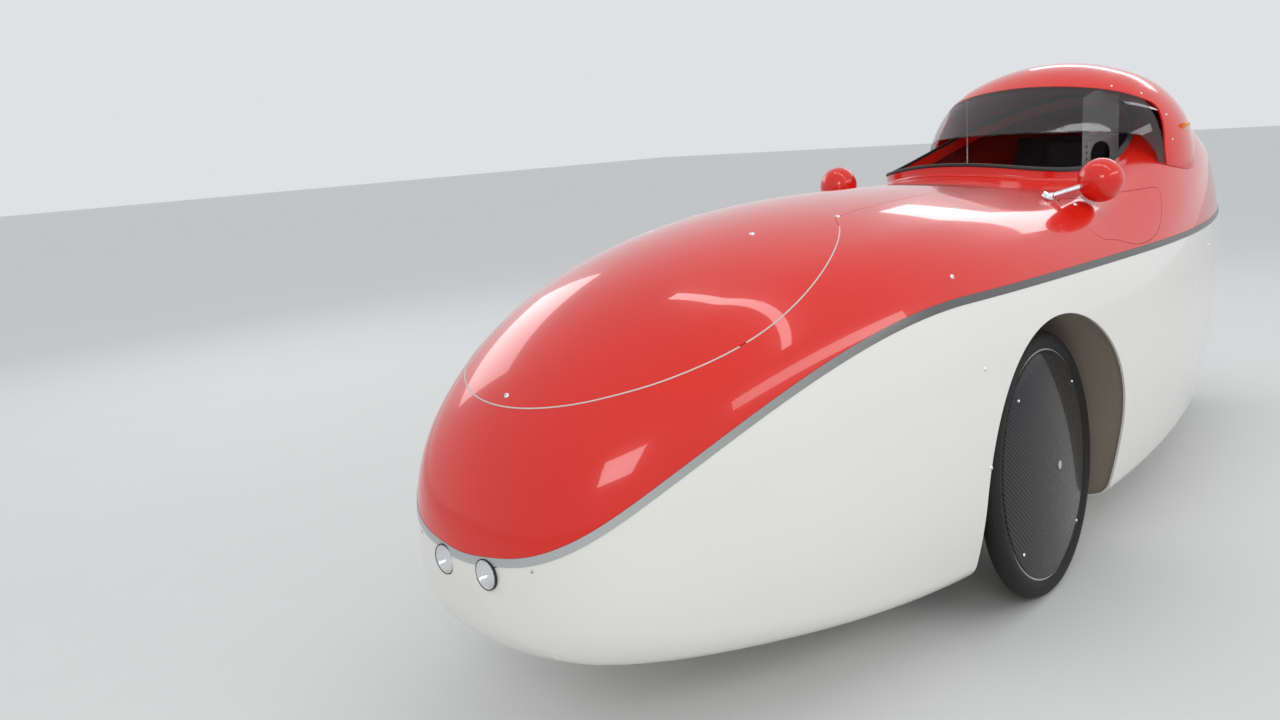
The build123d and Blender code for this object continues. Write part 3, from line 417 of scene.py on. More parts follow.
def deck_height(x, y, out=0.0):
    """Height of the upper skin, moved out by so much, above a point of the plan."""
    order = hull_fine[::-1]
    half, widest, crown, shoulder = (np.interp(x, order[:, 0], order[:, k]) for k in (1, 3, 4, 6))
    half, crown, corner = half + out, crown + out, shoulder + out
    wide, tall = quarter_radii(half, crown - widest, corner, crown_angle, flank_angle)
    reach = np.abs(y)
    on_crown = np.clip(reach, 0, wide * np.sin(crown_angle))
    turn_span = corner * (np.cos(flank_angle) - np.sin(crown_angle))
    on_corner = np.clip(reach - wide * np.sin(crown_angle), 0, turn_span)
    on_flank = np.clip(reach - wide * np.sin(crown_angle) - turn_span, 0, tall * (1 - np.cos(flank_angle)))
    first = np.arcsin(on_crown / wide)
    second = np.arcsin(np.sin(crown_angle) + on_corner / corner)
    third = np.arcsin(np.clip(np.cos(flank_angle) + on_flank / tall, -1, 1))
    down = wide * (1 - np.cos(first)) + corner * (np.cos(crown_angle) - np.cos(second))
    return crown - down - tall * (np.sin(flank_angle) - np.cos(third))


print("hull length", round(float(np.ptp(hull_fine[:, 0])), 3), "widest", round(2 * float(hull_fine[:, 1].max()), 3))

# %% [markdown]
# ## Panels cut from a skin
# Real panels are trimmed from one moulding, so here too: a rule says which side of a border a point lies
# on, cells wholly inside stay, and cells that the border crosses are cut along it. Inner points lie a wall
# thickness below, and a rim closes the edge.


# %% Cutting a skin and giving it a wall
def regroup(rings, kept):
    """Faces of the kept corners of each ring, in order, grouped by how many are kept."""
    order = np.argsort(~kept, axis=1, kind="stable")
    corners = np.take_along_axis(rings, order, axis=1)
    count = kept.sum(axis=1)
    return [corners[count == size][:, :size] for size in range(3, rings.shape[1] + 1) if np.any(count == size)]


def cut_skin(surface, us, vs, rule):
    """Cells of surface(u, v) where rule(points) is below zero, with u and v of each corner.

    A grid edge whose ends differ in sign gets one border point, found by halving, shared by both cells.
    """
    u, v = np.meshgrid(us, vs, indexing="ij")
    inside = rule(surface(u, v)) < 0
    corner = np.arange(u.size).reshape(u.shape)
    all_u, all_v, count = [u.ravel()], [v.ravel()], u.size
    borders = []
    for first, second in ((np.s_[:-1, :], np.s_[1:, :]), (np.s_[:, :-1], np.s_[:, 1:])):
        crossed = inside[first] != inside[second]
        starts_in = inside[first][crossed]
        u0, v0, u1, v1 = u[first][crossed], v[first][crossed], u[second][crossed], v[second][crossed]
        low, high = np.zeros(len(u0)), np.ones(len(u0))
        for _ in range(14):
            middle = (low + high) / 2
            same = (rule(surface(u0 + (u1 - u0) * middle, v0 + (v1 - v0) * middle)) < 0) == starts_in
            low, high = np.where(same, middle, low), np.where(same, high, middle)
        numbers = np.full(crossed.shape, -1)
        numbers[crossed] = count + np.arange(len(u0))
        count += len(u0)
        all_u.append(u0 + (u1 - u0) * low)
        all_v.append(v0 + (v1 - v0) * low)
        borders.append(numbers)
    down, across = borders
    rings = np.stack((
        corner[:-1, :-1], down[:, :-1], corner[1:, :-1], across[1:, :],
        corner[1:, 1:], down[:, 1:], corner[:-1, 1:], across[:-1, :],
    ), -1).reshape(-1, 8)
    held = np.concatenate((inside.ravel(), np.ones(count - u.size, bool)))
    groups = regroup(rings, (rings >= 0) & held[rings])
    used = np.unique(np.concatenate([group.ravel() for group in groups]))
    number = np.zeros(count, int)
    number[used] = np.arange(len(used))
    return np.concatenate(all_u)[used], np.concatenate(all_v)[used], [number[group] for group in groups]


def skin_normal(surface, u, v, step=0.002):
    """Outward normal of a skin, from small steps along both parameters."""
    along = surface(u + step, v) - surface(u - step, v)
    round_it = surface(u, v + step) - surface(u, v - step)
    return unit(np.cross(round_it, along))


def panel(name, surface, us, vs, rule, wall, body, slot, material, stands_for, proud=0.0):
    """A panel of the skin with a wall: outer faces, inner faces below them, and a flat rim between."""
    u, v, groups = cut_skin(surface, us, vs, rule)
    skin = surface(u, v)
    _, first, weld = np.unique(np.round(skin, 5), axis=0, return_index=True, return_inverse=True)
    u, v, skin = u[first], v[first], skin[first]
    welded = [weld.ravel()[group] for group in groups]
    groups = []
    for group in welded:
        groups += regroup(group, group != np.roll(group, 1, axis=1))
    normal = skin_normal(surface, u, v)
    outer = [group[:, ::-1] for group in groups]
    edges = np.concatenate([np.stack((g, np.roll(g, -1, axis=1)), -1).reshape(-1, 2) for g in outer])
    _, where, uses = np.unique(np.sort(edges, axis=1), axis=0, return_index=True, return_counts=True)
    start, end = edges[where[uses == 1]].T
    count = len(skin)
    rim = np.stack((end, start, start + count, end + count), -1)
    points = np.concatenate((skin + proud * normal, skin - wall * normal))
    rim_normal = unit(np.cross(points[start] - points[end], points[end + count] - points[end]))
    shading = [normal[group].reshape(-1, 3) for group in outer]
    shading += [-normal[group].reshape(-1, 3) for group in groups]
    shading.append(np.repeat(rim_normal, 4, axis=0))
    faces = [*outer, *(group + count for group in groups), rim]
    return new_piece(name, points, faces, body, slot, material, stands_for, normals=np.concatenate(shading))


# %% [markdown]
# ## Borders of the panels
# The joint line runs level along the flank and dips to the nose in one arc. The hatch and the cockpit are
# outlines seen from above, the flaps and wheel arches are seen from the side. Each outline is arcs and
# straight steps, and the rule is the signed distance to it.


# %% Outlines and distances
def arc_through(start, middle, end, count=24):
    """Points on the circle through three points, from start to end, the last left out."""
    (ax, ay), (bx, by), (cx, cy) = start, middle, end
    scale = 2 * (ax * (by - cy) + bx * (cy - ay) + cx * (ay - by))
    squares = np.array((ax * ax + ay * ay, bx * bx + by * by, cx * cx + cy * cy))
    centre = np.array((
        squares @ (by - cy, cy - ay, ay - by),
        squares @ (cx - bx, ax - cx, bx - ax),
    )) / scale
    angles = [np.arctan2(y - centre[1], x - centre[0]) for x, y in (start, middle, end)]
    full = (angles[2] - angles[0]) % (2 * np.pi)
    part = (angles[1] - angles[0]) % (2 * np.pi)
    turn = full if part < full else full - 2 * np.pi
    at = angles[0] + turn * np.linspace(0, 1, count, endpoint=False)
    radius = np.hypot(start[0] - centre[0], start[1] - centre[1])
    return centre + radius * np.stack((np.cos(at), np.sin(at)), -1)


def oval_front(widest, half_width, length, corner, angle=np.radians(30)):
    """Rounded front half of a plan outline, from the right widest point round the tip to the left one."""
    share = np.linspace(1, 0, 40)
    out, ahead = quarter(half_width, length, corner, angle, angle, share)
    right = np.stack((widest + ahead, -out), -1)
    return np.concatenate((right, (right * (1, -1))[-2::-1]))


def draw_back(widest, half_width, end_x, end_y, count=30):
    """Arc that leaves the widest point straight back and bends in to an end point."""
    run, drop = widest - end_x, half_width - end_y
    radius = (run**2 + drop**2) / (2 * drop)
    at = np.linspace(0, np.arcsin(run / radius), count)
    return np.stack((widest - radius * np.sin(at), half_width - radius * (1 - np.cos(at))), -1)


def distance(outline, a, b, margin=0.03):
    """Signed distance to a closed outline, below zero inside; far points get one metre."""
    result = np.ones(np.shape(a))
    low, high = outline.min(axis=0) - margin, outline.max(axis=0) + margin
    near = (a > low[0]) & (a < high[0]) & (b > low[1]) & (b < high[1])
    spot = np.stack((a[near], b[near]), -1)[:, None]
    start, end = outline, np.roll(outline, -1, axis=0)
    step = end - start
    share = np.clip(((spot - start) * step).sum(-1) / np.maximum((step**2).sum(-1), 1e-18), 0, 1)
    gap = np.sqrt(((spot - start - share[..., None] * step) ** 2).sum(-1).min(-1))
    spans = (start[:, 1] <= spot[..., 1]) != (end[:, 1] <= spot[..., 1])
    rise = np.where(step[:, 1] == 0, 1.0, step[:, 1])
    hit = start[:, 0] + (spot[..., 1] - start[:, 1]) / rise * step[:, 0]
    odd = (spans & (spot[..., 0] < hit)).sum(-1) % 2 == 1
    result[near] = np.where(odd, -gap, gap)
    return result


def rounded(points, radius, count=8):
    """A closed outline of straight runs, each corner rounded to a radius."""
    points = np.asarray(points, float)
    before, after = unit(np.roll(points, 1, axis=0) - points), unit(np.roll(points, -1, axis=0) - points)
    half = np.arccos(np.clip((before * after).sum(-1), -1, 1)) / 2
    back = radius / np.tan(half)
    centre = points + unit(before + after) * (radius / np.sin(half))[:, None]
    starts, ends = points + before * back[:, None] - centre, points + after * back[:, None] - centre
    share = np.linspace(0, 1, count)[None, :, None]
    swing = starts[:, None] * (1 - share) + ends[:, None] * share
    return (centre[:, None] + radius * unit(swing)).reshape(-1, 2)


def even_loop(outline, count):
    """A closed outline re-spaced evenly by length."""
    closed = np.concatenate((outline, outline[:1]))
    run = np.concatenate(([0], np.cumsum(np.hypot(*np.diff(closed, axis=0).T))))
    at = np.linspace(0, run[-1], count, endpoint=False)
    return np.stack([np.interp(at, run, closed[:, k]) for k in (0, 1)], -1)


def eased(outline, count=240, reach=9):
    """A closed outline re-spaced evenly, each point the mean of its neighbours, so that corners turn softly."""
    loop = even_loop(outline, count)
    return np.mean([np.roll(loop, step, axis=0) for step in range(-reach, reach + 1)], axis=0)


panel_gap = 0.8 * mm
hatch_side = np.concatenate((draw_back(985, 262, 748, 185), [(720, 157), (285, 128)]))
hatch_front = oval_front(985, 262, 307, 240)
hatch_line = mm * np.concatenate((hatch_front, hatch_side[1:], (hatch_side * (1, -1))[:0:-1]))
cockpit_side = draw_back(-125, 245, -470, 130)
cockpit_back = arc_through((-470, 130), (-525, 0), (-470, -130), 40)
cockpit_front = oval_front(-125, 245, 230, 190)
other_side = (cockpit_side * (1, -1))[:0:-1]
cockpit_line = mm * np.concatenate((cockpit_front, cockpit_side[1:-1], cockpit_back, other_side))
flap_corners = mm * np.concatenate((
    [(-222, 672)],
    arc_through((103, 672), (165, 624), (103, 602)),
    arc_through((103, 602), (-13.5, 576), (-130, 602)),
    [(-130, 602)],
))
flap_line = eased(flap_corners)
print("outlines:", len(hatch_line), len(cockpit_line), len(flap_line), "points")

# %% Rules of the panels
seam_z, seam_turn, seam_radius, band_half = 0.567, 0.650, 1.155, 0.006
bay_x, bay_z, bay_radius, bay_inner = 0.396, 0.250, 0.254, 0.225
lamp_y, lamp_z, lamp_radius = 0.047, 0.292, 0.021
slot_x, slot_half, slot_radius, slot_top = -0.885, 0.254, 0.046, 0.310


def seam(x):
    """Height of the joint line: level, then an arc down to the nose."""
    ahead = np.clip(x - seam_turn, 0, None)
    return seam_z - seam_radius + np.sqrt(seam_radius**2 - ahead**2)


def arch_gap(p):
    """Distance to the wheel arches, below zero in the opening of a bay."""
    x, y, z = np.moveaxis(p, -1, 0)
    side_on = np.hypot(x - bay_x, np.maximum(z - bay_z, 0)) - bay_radius
    return np.maximum(side_on, bay_inner - np.abs(y))


def lamp_gap(p):
    """Distance to the headlamp sockets in the nose."""
    return np.where(p[..., 0] > 1.3, np.hypot(np.abs(p[..., 1]) - lamp_y, p[..., 2] - lamp_z) - lamp_radius, 1.0)


def slot_gap(p):
    """Distance to the slot under the rear wheel."""
    along = np.maximum(np.abs(p[..., 0] - slot_x) - slot_half, 0)
    return np.maximum(np.hypot(along, p[..., 1]) - slot_radius, p[..., 2] - slot_top)


def lower_rule(p):
    """Below the band, outside the wheel bays, the lamp sockets and the rear slot."""
    below = p[..., 2] - seam(p[..., 0]) + band_half
    return np.maximum.reduce((below, -arch_gap(p), -lamp_gap(p), -slot_gap(p)))


def band_rule(p):
    """Within half the band's width of the joint line, clear of the lamps."""
    return np.maximum(np.abs(p[..., 2] - seam(p[..., 0])) - band_half + 0.2 * mm, -lamp_gap(p))


def above_rule(p):
    """Above the band."""
    return seam(p[..., 0]) + band_half - p[..., 2]


def flap_gap(p):
    """Distance to the flap outlines, seen from the side."""
    return distance(flap_line, p[..., 0], p[..., 2])


def upper_rule(p):
    """Above the band, outside the hatch, the cockpit and the flaps."""
    hatch = distance(hatch_line, p[..., 0], p[..., 1])
    cockpit = distance(cockpit_line, p[..., 0], p[..., 1])
    return np.maximum.reduce((above_rule(p), -hatch, -cockpit, -flap_gap(p)))


def hatch_rule(p):
    """Inside the hatch outline, by the panel gap."""
    return np.maximum(above_rule(p), distance(hatch_line, p[..., 0], p[..., 1]) + panel_gap)


def flap_rule(p):
    """Inside the flap outline, by the panel gap."""
    return np.maximum(above_rule(p), flap_gap(p) + panel_gap)


# %% Shell panels
shell_wall = 4 * mm
nose_cap, tail_cap = np.linspace(-cap_span, 0, 6)[:-1], np.linspace(1, 1 + cap_span, 6)[1:]
along_hull = np.concatenate((nose_cap, np.linspace(0, 1, 300), tail_cap))
round_low = np.linspace(0, 4, 241)
near_crown, near_band, below = np.linspace(0, 0.52, 36), np.linspace(0.52, 0.82, 64), np.linspace(0.82, 1, 14)
half_top = np.concatenate((near_crown[1:], near_band[1:], below[1:]))
round_top = np.concatenate((-half_top[::-1], [0], half_top))
flap_span = np.linspace(0, 1.3, 90)
shell_panels = (
    ("lower_skin", round_low, lower_rule, "white_gelcoat", white, "lower_shell"),
    ("upper_skin", round_top, upper_rule, "red_gelcoat", red, "upper_shell"),
    ("hatch_skin", round_top, hatch_rule, "red_gelcoat", red, "nose_hatch"),
    ("flap_skin_left", flap_span, flap_rule, "red_gelcoat", red, "side_flap_left"),
    ("flap_skin_right", -flap_span[::-1], flap_rule, "red_gelcoat", red, "side_flap_right"),
)
for name, span, rule, slot, material, stands_for in shell_panels:
    panel(name, hull, along_hull, span, rule, shell_wall, "body", slot, material, (stands_for,))

# %% [markdown]
# ## The joint band
# A thin strip is glued over the joint. It could be a ribbon swept along the joint line. Here it is cut from the
# same skin, on a finer grid because it is narrow, and stands a little proud, so it follows every curve of the hull.


# %% Strip along the joint
band_wall, band_proud = 3 * mm, 0.8 * mm
along_band, round_band = np.linspace(-cap_span, 1 + cap_span, 640), np.linspace(0, 4, 900)
panel("band_skin", hull, along_band, round_band, band_rule, band_wall, "body", "band_grey", strip,
      ("seam_band",), proud=band_proud)

# %% [markdown]
# ## Hood and visor
# The hood is a second small moulding over the rider's head. Its front is a sheet of smoked plastic, cut from
# flat stock and bent round the front edge. Here both are cut from one dome, so they stay flush.


# %% Dome, its borders and its two panels
hood_base, hood_lift, hood_wall = 0.690, 1.2 * mm, 4 * mm
hinge_x, hinge_z, hinge_half, hinge_radius = -0.668, 0.860, 18 * mm, 7 * mm
leaf_middle, leaf_half, notch_depth = 33 * mm, 15 * mm, 17 * mm
hood_table = mm * np.array([  # place, half width at the base, crown, shoulder radius
    (-62, 84, 738, 36),
    (-120, 150, 797, 80),
    (-200, 222, 868, 140),
    (-280, 272, 922, 180),
    (-380, 292, 946, 200),
    (-480, 285, 936, 195),
    (-580, 250, 902, 165),
    (-690, 186, 846, 120),
])
hood_fine = smooth_rows(hood_table, 801)
front_corners = [(120, 600), (120, 806), (-110, 799), (-200, 790), (-262, 778), (-292, 735), (-296, 600)]
front_cut = mm * np.array(front_corners)
visor_corners = [(160, 640), (160, 960), (-108, 960), (-345, 838), (-318, 745), (-322, 640)]
visor_line = rounded(mm * np.array(visor_corners), 22 * mm)


def dome(u, v):
    """Hood skin: u runs from front to rear, v from the crown (0) down to the left (1) or right (-1) base."""
    x, half, crown, shoulder = rows_at(hood_fine, u)
    out, up = quarter(half, crown - hood_base, shoulder, crown_angle, flank_angle, np.clip(np.abs(v), 0, 1))
    return np.stack((x, np.sign(v) * out, hood_base + up), -1)


def dome_rule(p):
    """Above the deck, behind the front cut, ahead of the hinge."""
    x, y, z = np.moveaxis(p, -1, 0)
    return np.maximum.reduce((deck_height(x, y, hood_lift) - z, -distance(front_cut, x, z), hinge_x - x))


def hood_rule(p):
    """The dome without the visor and without two notches for the hinge's leaves."""
    across_leaf = np.abs(np.abs(p[..., 1]) - leaf_middle) - leaf_half
    leaf = np.maximum(across_leaf, p[..., 0] - hinge_x - notch_depth)
    return np.maximum.reduce((dome_rule(p), -distance(visor_line, p[..., 0], p[..., 2]), -leaf))


def visor_rule(p):
    """The dome inside the visor's outline."""
    return np.maximum(dome_rule(p), distance(visor_line, p[..., 0], p[..., 2]) + panel_gap / 2)


along_hood, round_hood = np.linspace(0, 1, 190), np.linspace(-1, 1, 191)
along_visor = np.linspace(0, 0.45, 150)
panel("hood_skin", dome, along_hood, round_hood, hood_rule, hood_wall, "hood", "red_gelcoat", red, ("hood_shell",))
panel("visor_skin", dome, along_visor, round_hood, visor_rule, hood_wall, "hood", "smoked_visor", smoked, ("visor",))
barrel = [(0, -hinge_half), (hinge_radius, -hinge_half), (hinge_radius, hinge_half), (0, hinge_half)]
knuckle = turned(barrel, (hinge_x, 0, hinge_z), (0, 1, 0), 32)
new_piece("hinge_knuckle", *knuckle, "hood", "red_gelcoat", red)

# %% [markdown]
# ## Coaming and its trim
# The rim of the cockpit is turned up so that water stays out, and a rubber edge strip is pushed over it. Both
# are profiles carried round the cockpit outline, at a height over the deck, as a strip is pushed on by hand.


# %% Collars round the cockpit
def collar(outline, profile, count=520):
    """A closed profile of (inset, height over the deck) carried round a plan outline."""
    loop = even_loop(outline, count)
    along = unit(np.roll(loop, -2, axis=0) - np.roll(loop, 2, axis=0))
    left = np.stack((-along[:, 1], along[:, 0]), -1)
    area = np.sum(loop[:, 0] * np.roll(loop[:, 1], -1) - loop[:, 1] * np.roll(loop[:, 0], -1))
    spots = loop + profile[:, 0, None, None] * left * np.sign(area)
    height = deck_height(spots[..., 0], spots[..., 1], profile[:, 1, None])
    points = np.concatenate((spots, height[..., None]), -1)
    return points, [grid_quads(len(profile), count, close_rows=True, close_columns=True)]


sweep = np.linspace(-np.pi / 2, 0, 9)
flare = np.stack((-6 + 6.3 * np.cos(sweep), 6.45 + 6.3 * np.sin(sweep)), -1)
upright = np.array([(0.3, 18), (5.3, 18), (5.3, -4), (0.3, -4), (0.3, 0.15)])
new_piece("coaming_collar", *collar(cockpit_line, mm * np.concatenate((flare, upright))), "body", "red_gelcoat", red,
          ("cockpit_coaming",))
swing = np.linspace(0, 2 * np.pi, 24, endpoint=False)
bead = np.stack((2.8 + 4.5 * np.sign(np.cos(swing)) * np.abs(np.cos(swing)) ** 0.6,
                 21.5 + 3.5 * np.sign(np.sin(swing)) * np.abs(np.sin(swing)) ** 0.6), -1)
new_piece("edge_trim", *collar(cockpit_line, mm * bead), "body", "black_rubber", rubber, ("coaming_trim",))

# %% [markdown]
# ## Mirrors
# Each mirror is a round pod, moulded in the body colour, on a short chromed rod from the deck. The pod is
# blown or moulded in one piece, and the glass is pressed into its flat back.

# %% Pods, rods and glasses
glasses, pod_radius, pod_cut = [], 42, 16
turn = np.linspace(0, np.arccos(-pod_cut / pod_radius), 40)
ball = pod_radius * np.stack((np.sin(turn), np.cos(turn)), -1)
lip = [(38.2, -16.6), (36.6, -16.4), (36.3, -13), (0, -13)]
rod_foot = [(0, -9), (3.4, -8.6), (5.4, -6.8), (6.2, -4), (6.4, 0), (6.4, 6), (5.6, 6.8), (5.2, 9), (4.6, 10)]
flange = mm * np.array([(0, -2), (12, -2), (12, 2.6), (11, 4), (6, 4.3), (0, 4.3)])
pane = mm * np.array([(0, -14.4), (18, -14.7), (35, -15.6), (35.9, -15.2), (35.9, -13.2), (0, -13.2)])
for name, side in (("left", 1), ("right", -1)):
    middle, foot = np.array((59, side * 301, 705)) * mm, np.array((150, side * 240, 682)) * mm
    pod = turned(mm * np.concatenate((ball, lip)), middle, (1, 0, 0), 72)
    new_piece(f"mirror_pod_{name}", *pod, "body", "red_gelcoat", red, (f"mirror_housing_{name}",))
    rod_end = np.linalg.norm(middle - foot) / mm - pod_radius + 2
    rod = turned(mm * np.array([*rod_foot, (4.5, rod_end), (0, rod_end)]), foot, middle - foot, 40)
    plate = turned(flange, foot, (0, side * 0.240, 0.327), 40)
    new_piece(f"mirror_rod_{name}", *joined((rod, plate)), "body", "chrome", chrome, (f"mirror_stalk_{name}",))
    glasses.append(turned(pane, middle, (1, 0, 0), 64))
new_piece("mirror_panes", *joined(glasses), "body", "mirror", mirror, ("mirror_glass",))

# %% [markdown]
# ## Lamps
# The headlamps are bright bowls set through the nose, each closed by a domed clear lens. The amber turn lamps
# on the hood are small tapered mouldings with fine ribs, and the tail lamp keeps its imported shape.

# %% Bowls, lenses and turn lamps
back, front, tip, bowl_radius, mouth, bulb_radius = 1350, 1378, 1385, 1000 * lamp_radius, 19.2, 4.5
inside = np.linspace(mouth, bulb_radius, 20)
bowl = np.stack((inside, front - 18 + 17.4 * (inside / mouth) ** 2), -1)
rim = [(0, back), (bowl_radius, back), (bowl_radius, front - 2), (bowl_radius - 0.3, front - 0.6), (20, front)]
bulb = [(bulb_radius, front - 13), (3.2, front - 9.5), (1.6, front - 8.2), (0, front - 7.9)]
lamp = mm * np.concatenate((rim, bowl, bulb))
sphere = (bowl_radius**2 + (tip - front) ** 2) / (2 * (tip - front))
spread_out = np.linspace(0, bowl_radius, 24)
cap = np.stack((spread_out, tip - sphere + np.sqrt(sphere**2 - spread_out**2)), -1)
under = cap[::-1] * (0.94, 1) - (0, 1.4)
cover = mm * np.concatenate((cap, np.maximum(under, (0, front + 0.1))))
seal = mm * (np.array([(20.6, -4), (21.8, -3.6), (22.1, -1), (21.6, 0.6), (20.6, 0.4)]) + (0, front))
lenses, seals = [], []
for name, side in (("left", 1), ("right", -1)):
    place_of = dict(centre=(0, side * lamp_y, lamp_z), axis=(1, 0, 0), steps=72)
    new_piece(f"lamp_bowl_{name}", *turned(lamp, **place_of), "body", "chrome", chrome, (f"headlamp_{name}",))
    lenses.append(turned(cover, **place_of))
    seals.append(turned(seal, closed=True, **place_of))
new_piece("lamp_lenses", *joined(lenses), "body", "clear_lens", lens, ("headlamp_lenses",))
new_piece("lamp_seals", *joined(seals), "body", "black_rubber", rubber)

cones, cone_height, cone_round, cone_radius, cone_half_run, rib = [], 22, 4, 8, 9, 0.25
turn = np.linspace(0, 2 * np.pi, 48, endpoint=False)
top = cone_height + cone_round * np.sin(np.linspace(0.1, np.pi / 2, 9))
rise = np.concatenate((np.linspace(0, cone_height, 12), top))
over_top = np.clip((rise - cone_height) / cone_round, 0, 1)
shrink = rise * np.tan(np.radians(8)) + cone_round * (1 - np.sqrt(1 - over_top**2))
radius = (cone_radius - shrink - rib * (np.arange(len(rise)) % 2))[:, None]
along_x, across_it = np.sign(np.cos(turn)) * cone_half_run + radius * np.cos(turn), radius * np.sin(turn)
for side in (1, -1):
    foot, out = np.array((-430, side * 268, 776)) * mm, unit(np.array((0, side, 1.0)))
    points = foot + mm * (along_x[..., None] * (1, 0, 0) + across_it[..., None] * np.cross(out, (1, 0, 0)))
    points = points + mm * rise[:, None, None] * out
    points = np.concatenate((points, np.broadcast_to(points[-1].mean(axis=0), points[:1].shape)))
    cones.append((points, [grid_quads(len(points), len(turn), close_columns=True)]))
new_piece("turn_lamps", *joined(cones), "hood", "amber_lens", amber, ("indicators",))

# %% [markdown]
# ## Wheels
# The front wheels carry slick tyres and bulged carbon covers. A tyre is one round section turned about the
# axle, with fine rain grooves; a cover is a shallow dish laid up from cloth, so its weave runs straight across.


# %% Tyres and covers
def wheel_axis(side):
    """Outboard direction of a front axle at rest: toed by the steering's rest angle and cambered."""
    turn, lean = np.radians((6, 4))
    return np.array((-side * np.sin(turn) * np.cos(lean), side * np.cos(turn) * np.cos(lean), np.sin(lean)))


def tyre_profile(radius, bead, bead_half):
    """Round arc over both beads with three fine grooves in the tread."""
    centre = (radius**2 - bead**2 - bead_half**2) / (2 * (radius - bead))
    small = radius - centre
    end = np.arctan2(bead_half, bead - centre)
    turn = np.linspace(-end, end, 181)
    height = small * np.sin(turn)
    groove = np.exp(-(((height[:, None] - (-5, 0, 5)) / 0.55) ** 2)).sum(-1) * (np.cos(turn) > 0)
    ridge = 0.4 * np.exp(-(((np.abs(turn) - 1.75) / 0.05) ** 2))
    return mm * np.stack((centre + (small + ridge - 0.6 * groove) * np.cos(turn), height + ridge * np.sin(turn)), -1)


front_tyre, rear_tyre = (235, 203, 13), (310, 279.5, 11)  # radius over the tread, bead radius, half bead width
disc_turn = np.linspace(0, 2 * np.pi, 96, endpoint=False)
face = arc_through((8, 36), (110, 29.5), (200, 15), 60)
rear_face = arc_through((190, 13), (106, 27.5), (8, 34), 40)
dish = mm * np.concatenate((face, [(199.4, 15.1), (200, 14.4), (200, 13)], rear_face, [(8, 34)]))
weave_at = dish[:, 0, None, None] * np.stack((np.cos(disc_turn), np.sin(disc_turn)), -1)
front_hubs = {"left": (1, np.array((0.390, 0.338, 0.234473))), "right": (-1, np.array((0.40205, -0.338, 0.234473)))}
for name, (side, hub) in front_hubs.items():
    axis, body = wheel_axis(side), f"wheel_{name}"
    tyre = turned(tyre_profile(*front_tyre), hub, axis, 200, closed=True)
    new_piece(f"slick_tyre_{name}", *tyre, body, "tyre", tread, (f"front_tyre_{name}",))
    cover = turned(dish, hub, axis, len(disc_turn), closed=True)
    new_piece(f"carbon_cover_{name}", *cover, body, "carbon", carbon, (f"wheel_disc_{name}",), uv=weave_at)
tyre = turned(tyre_profile(*rear_tyre), (-0.860, 0, 0.310), (0, 1, 0), 200, closed=True)
new_piece("rear_slick", *tyre, "wheel_rear", "tyre", tread, ("rear_tyre",))

# %% [markdown]
# ## Fasteners and edge lines
# Quarter-turn screws hold the hatch and the arch covers, small screws hold the visor. Each is a turned head
# set square to the skin at its place. A pale edge strip closes the hatch's front joint.


# %% Heads on a skin
def on_skin(surface, fine, spots, vs, weight=(1, 1, 1)):
    """Points of a skin's sections nearest to given spots, by weighted steps, and the outward normals there."""
    spots = np.asarray(spots, float)
    u = np.interp(-spots[:, 0], -fine[:, 0], np.linspace(0, 1, len(fine)))[:, None]
    v = np.broadcast_to(vs, (len(spots), len(vs)))
    steps = (surface(np.broadcast_to(u, v.shape), v) - spots[:, None]) * weight
    best = v[np.arange(len(spots)), np.linalg.norm(steps, axis=-1).argmin(axis=1)]
    return surface(u[:, 0], best), skin_normal(surface, u[:, 0], best)


def heads(points, normals, radius, steps=20):
    """Domed heads with a driver recess, one at each point, square to the skin."""
    shape = np.array([(0, 0.30), (0.34, 0.30), (0.42, 0.52), (0.7, 0.42), (0.95, 0.18), (1.05, -0.2), (1.05, -0.5)])
    return joined([turned(radius * shape, point, normal, steps) for point, normal in zip(points, normals)])


def both_sides(spots):
    """The spots and their mirror images."""
    spots = np.asarray(spots, float)
    return np.concatenate((spots, spots * (1, -1, 1)))


hull_screws = [(0.871, 0.111, 0.693), (0.710, 0.157, 0.705), (0.660, 0.329, 0.604), (0.647, 0.374, 0.460),
               (0.647, 0.382, 0.303), (0.107, 0.272, 0.661), (-0.470, 0.330, 0.520)]
spots = np.concatenate((both_sides(hull_screws), [(1.28, 0.0, 0.508)]))
round_hull = np.linspace(-2, 2, 4001)
found = on_skin(hull, hull_fine, spots, round_hull)
new_piece("quarter_turn_screws", *heads(*found, 4.2 * mm), "body", "chrome", chrome)
rivets = both_sides([(1.360, 0.122, 0.309), (1.344, 0.151, 0.332)])
found = on_skin(hull, hull_fine, rivets, round_hull)
new_piece("nose_rivets", *heads(*found, 2.4 * mm), "body", "steel", steel)
visor_screws = [(-0.285, 0, 0.884), (-0.325, 0, 0.864), (-0.358, 0, 0.815), (-0.352, 0, 0.762), (-0.500, 0, 0.790)]
found = on_skin(dome, hood_fine, visor_screws, np.linspace(0, 1, 4001), (1, 0, 1))
new_piece("hood_screws", *heads(both_sides(found[0]), both_sides(found[1]), 2.6 * mm), "hood", "chrome", chrome)
for name, (side, hub) in front_hubs.items():
    axis, first, second = cross_axes(wheel_axis(side))
    turn = np.radians(np.array((40, 130, 220, 310)))[:, None]
    ring = hub + mm * (184 * (np.cos(turn) * first + np.sin(turn) * second) + 18.6 * axis)
    new_piece(f"cover_bolts_{name}", *heads(ring, [axis] * 4, 3.0 * mm), f"wheel_{name}", "chrome", chrome)

edge = np.roll(hatch_line, len(hatch_line) // 2, axis=0)
edge = edge[edge[:, 0] > 0.745]
edge = edge[np.concatenate(([True], np.hypot(*np.diff(edge, axis=0).T) > 1e-5))]
edge = np.column_stack((edge, deck_height(edge[:, 0], edge[:, 1])))
new_piece("hatch_edge_strip", *tube(edge, 1.1 * mm, 10), "body", "band_grey", pale_edge)

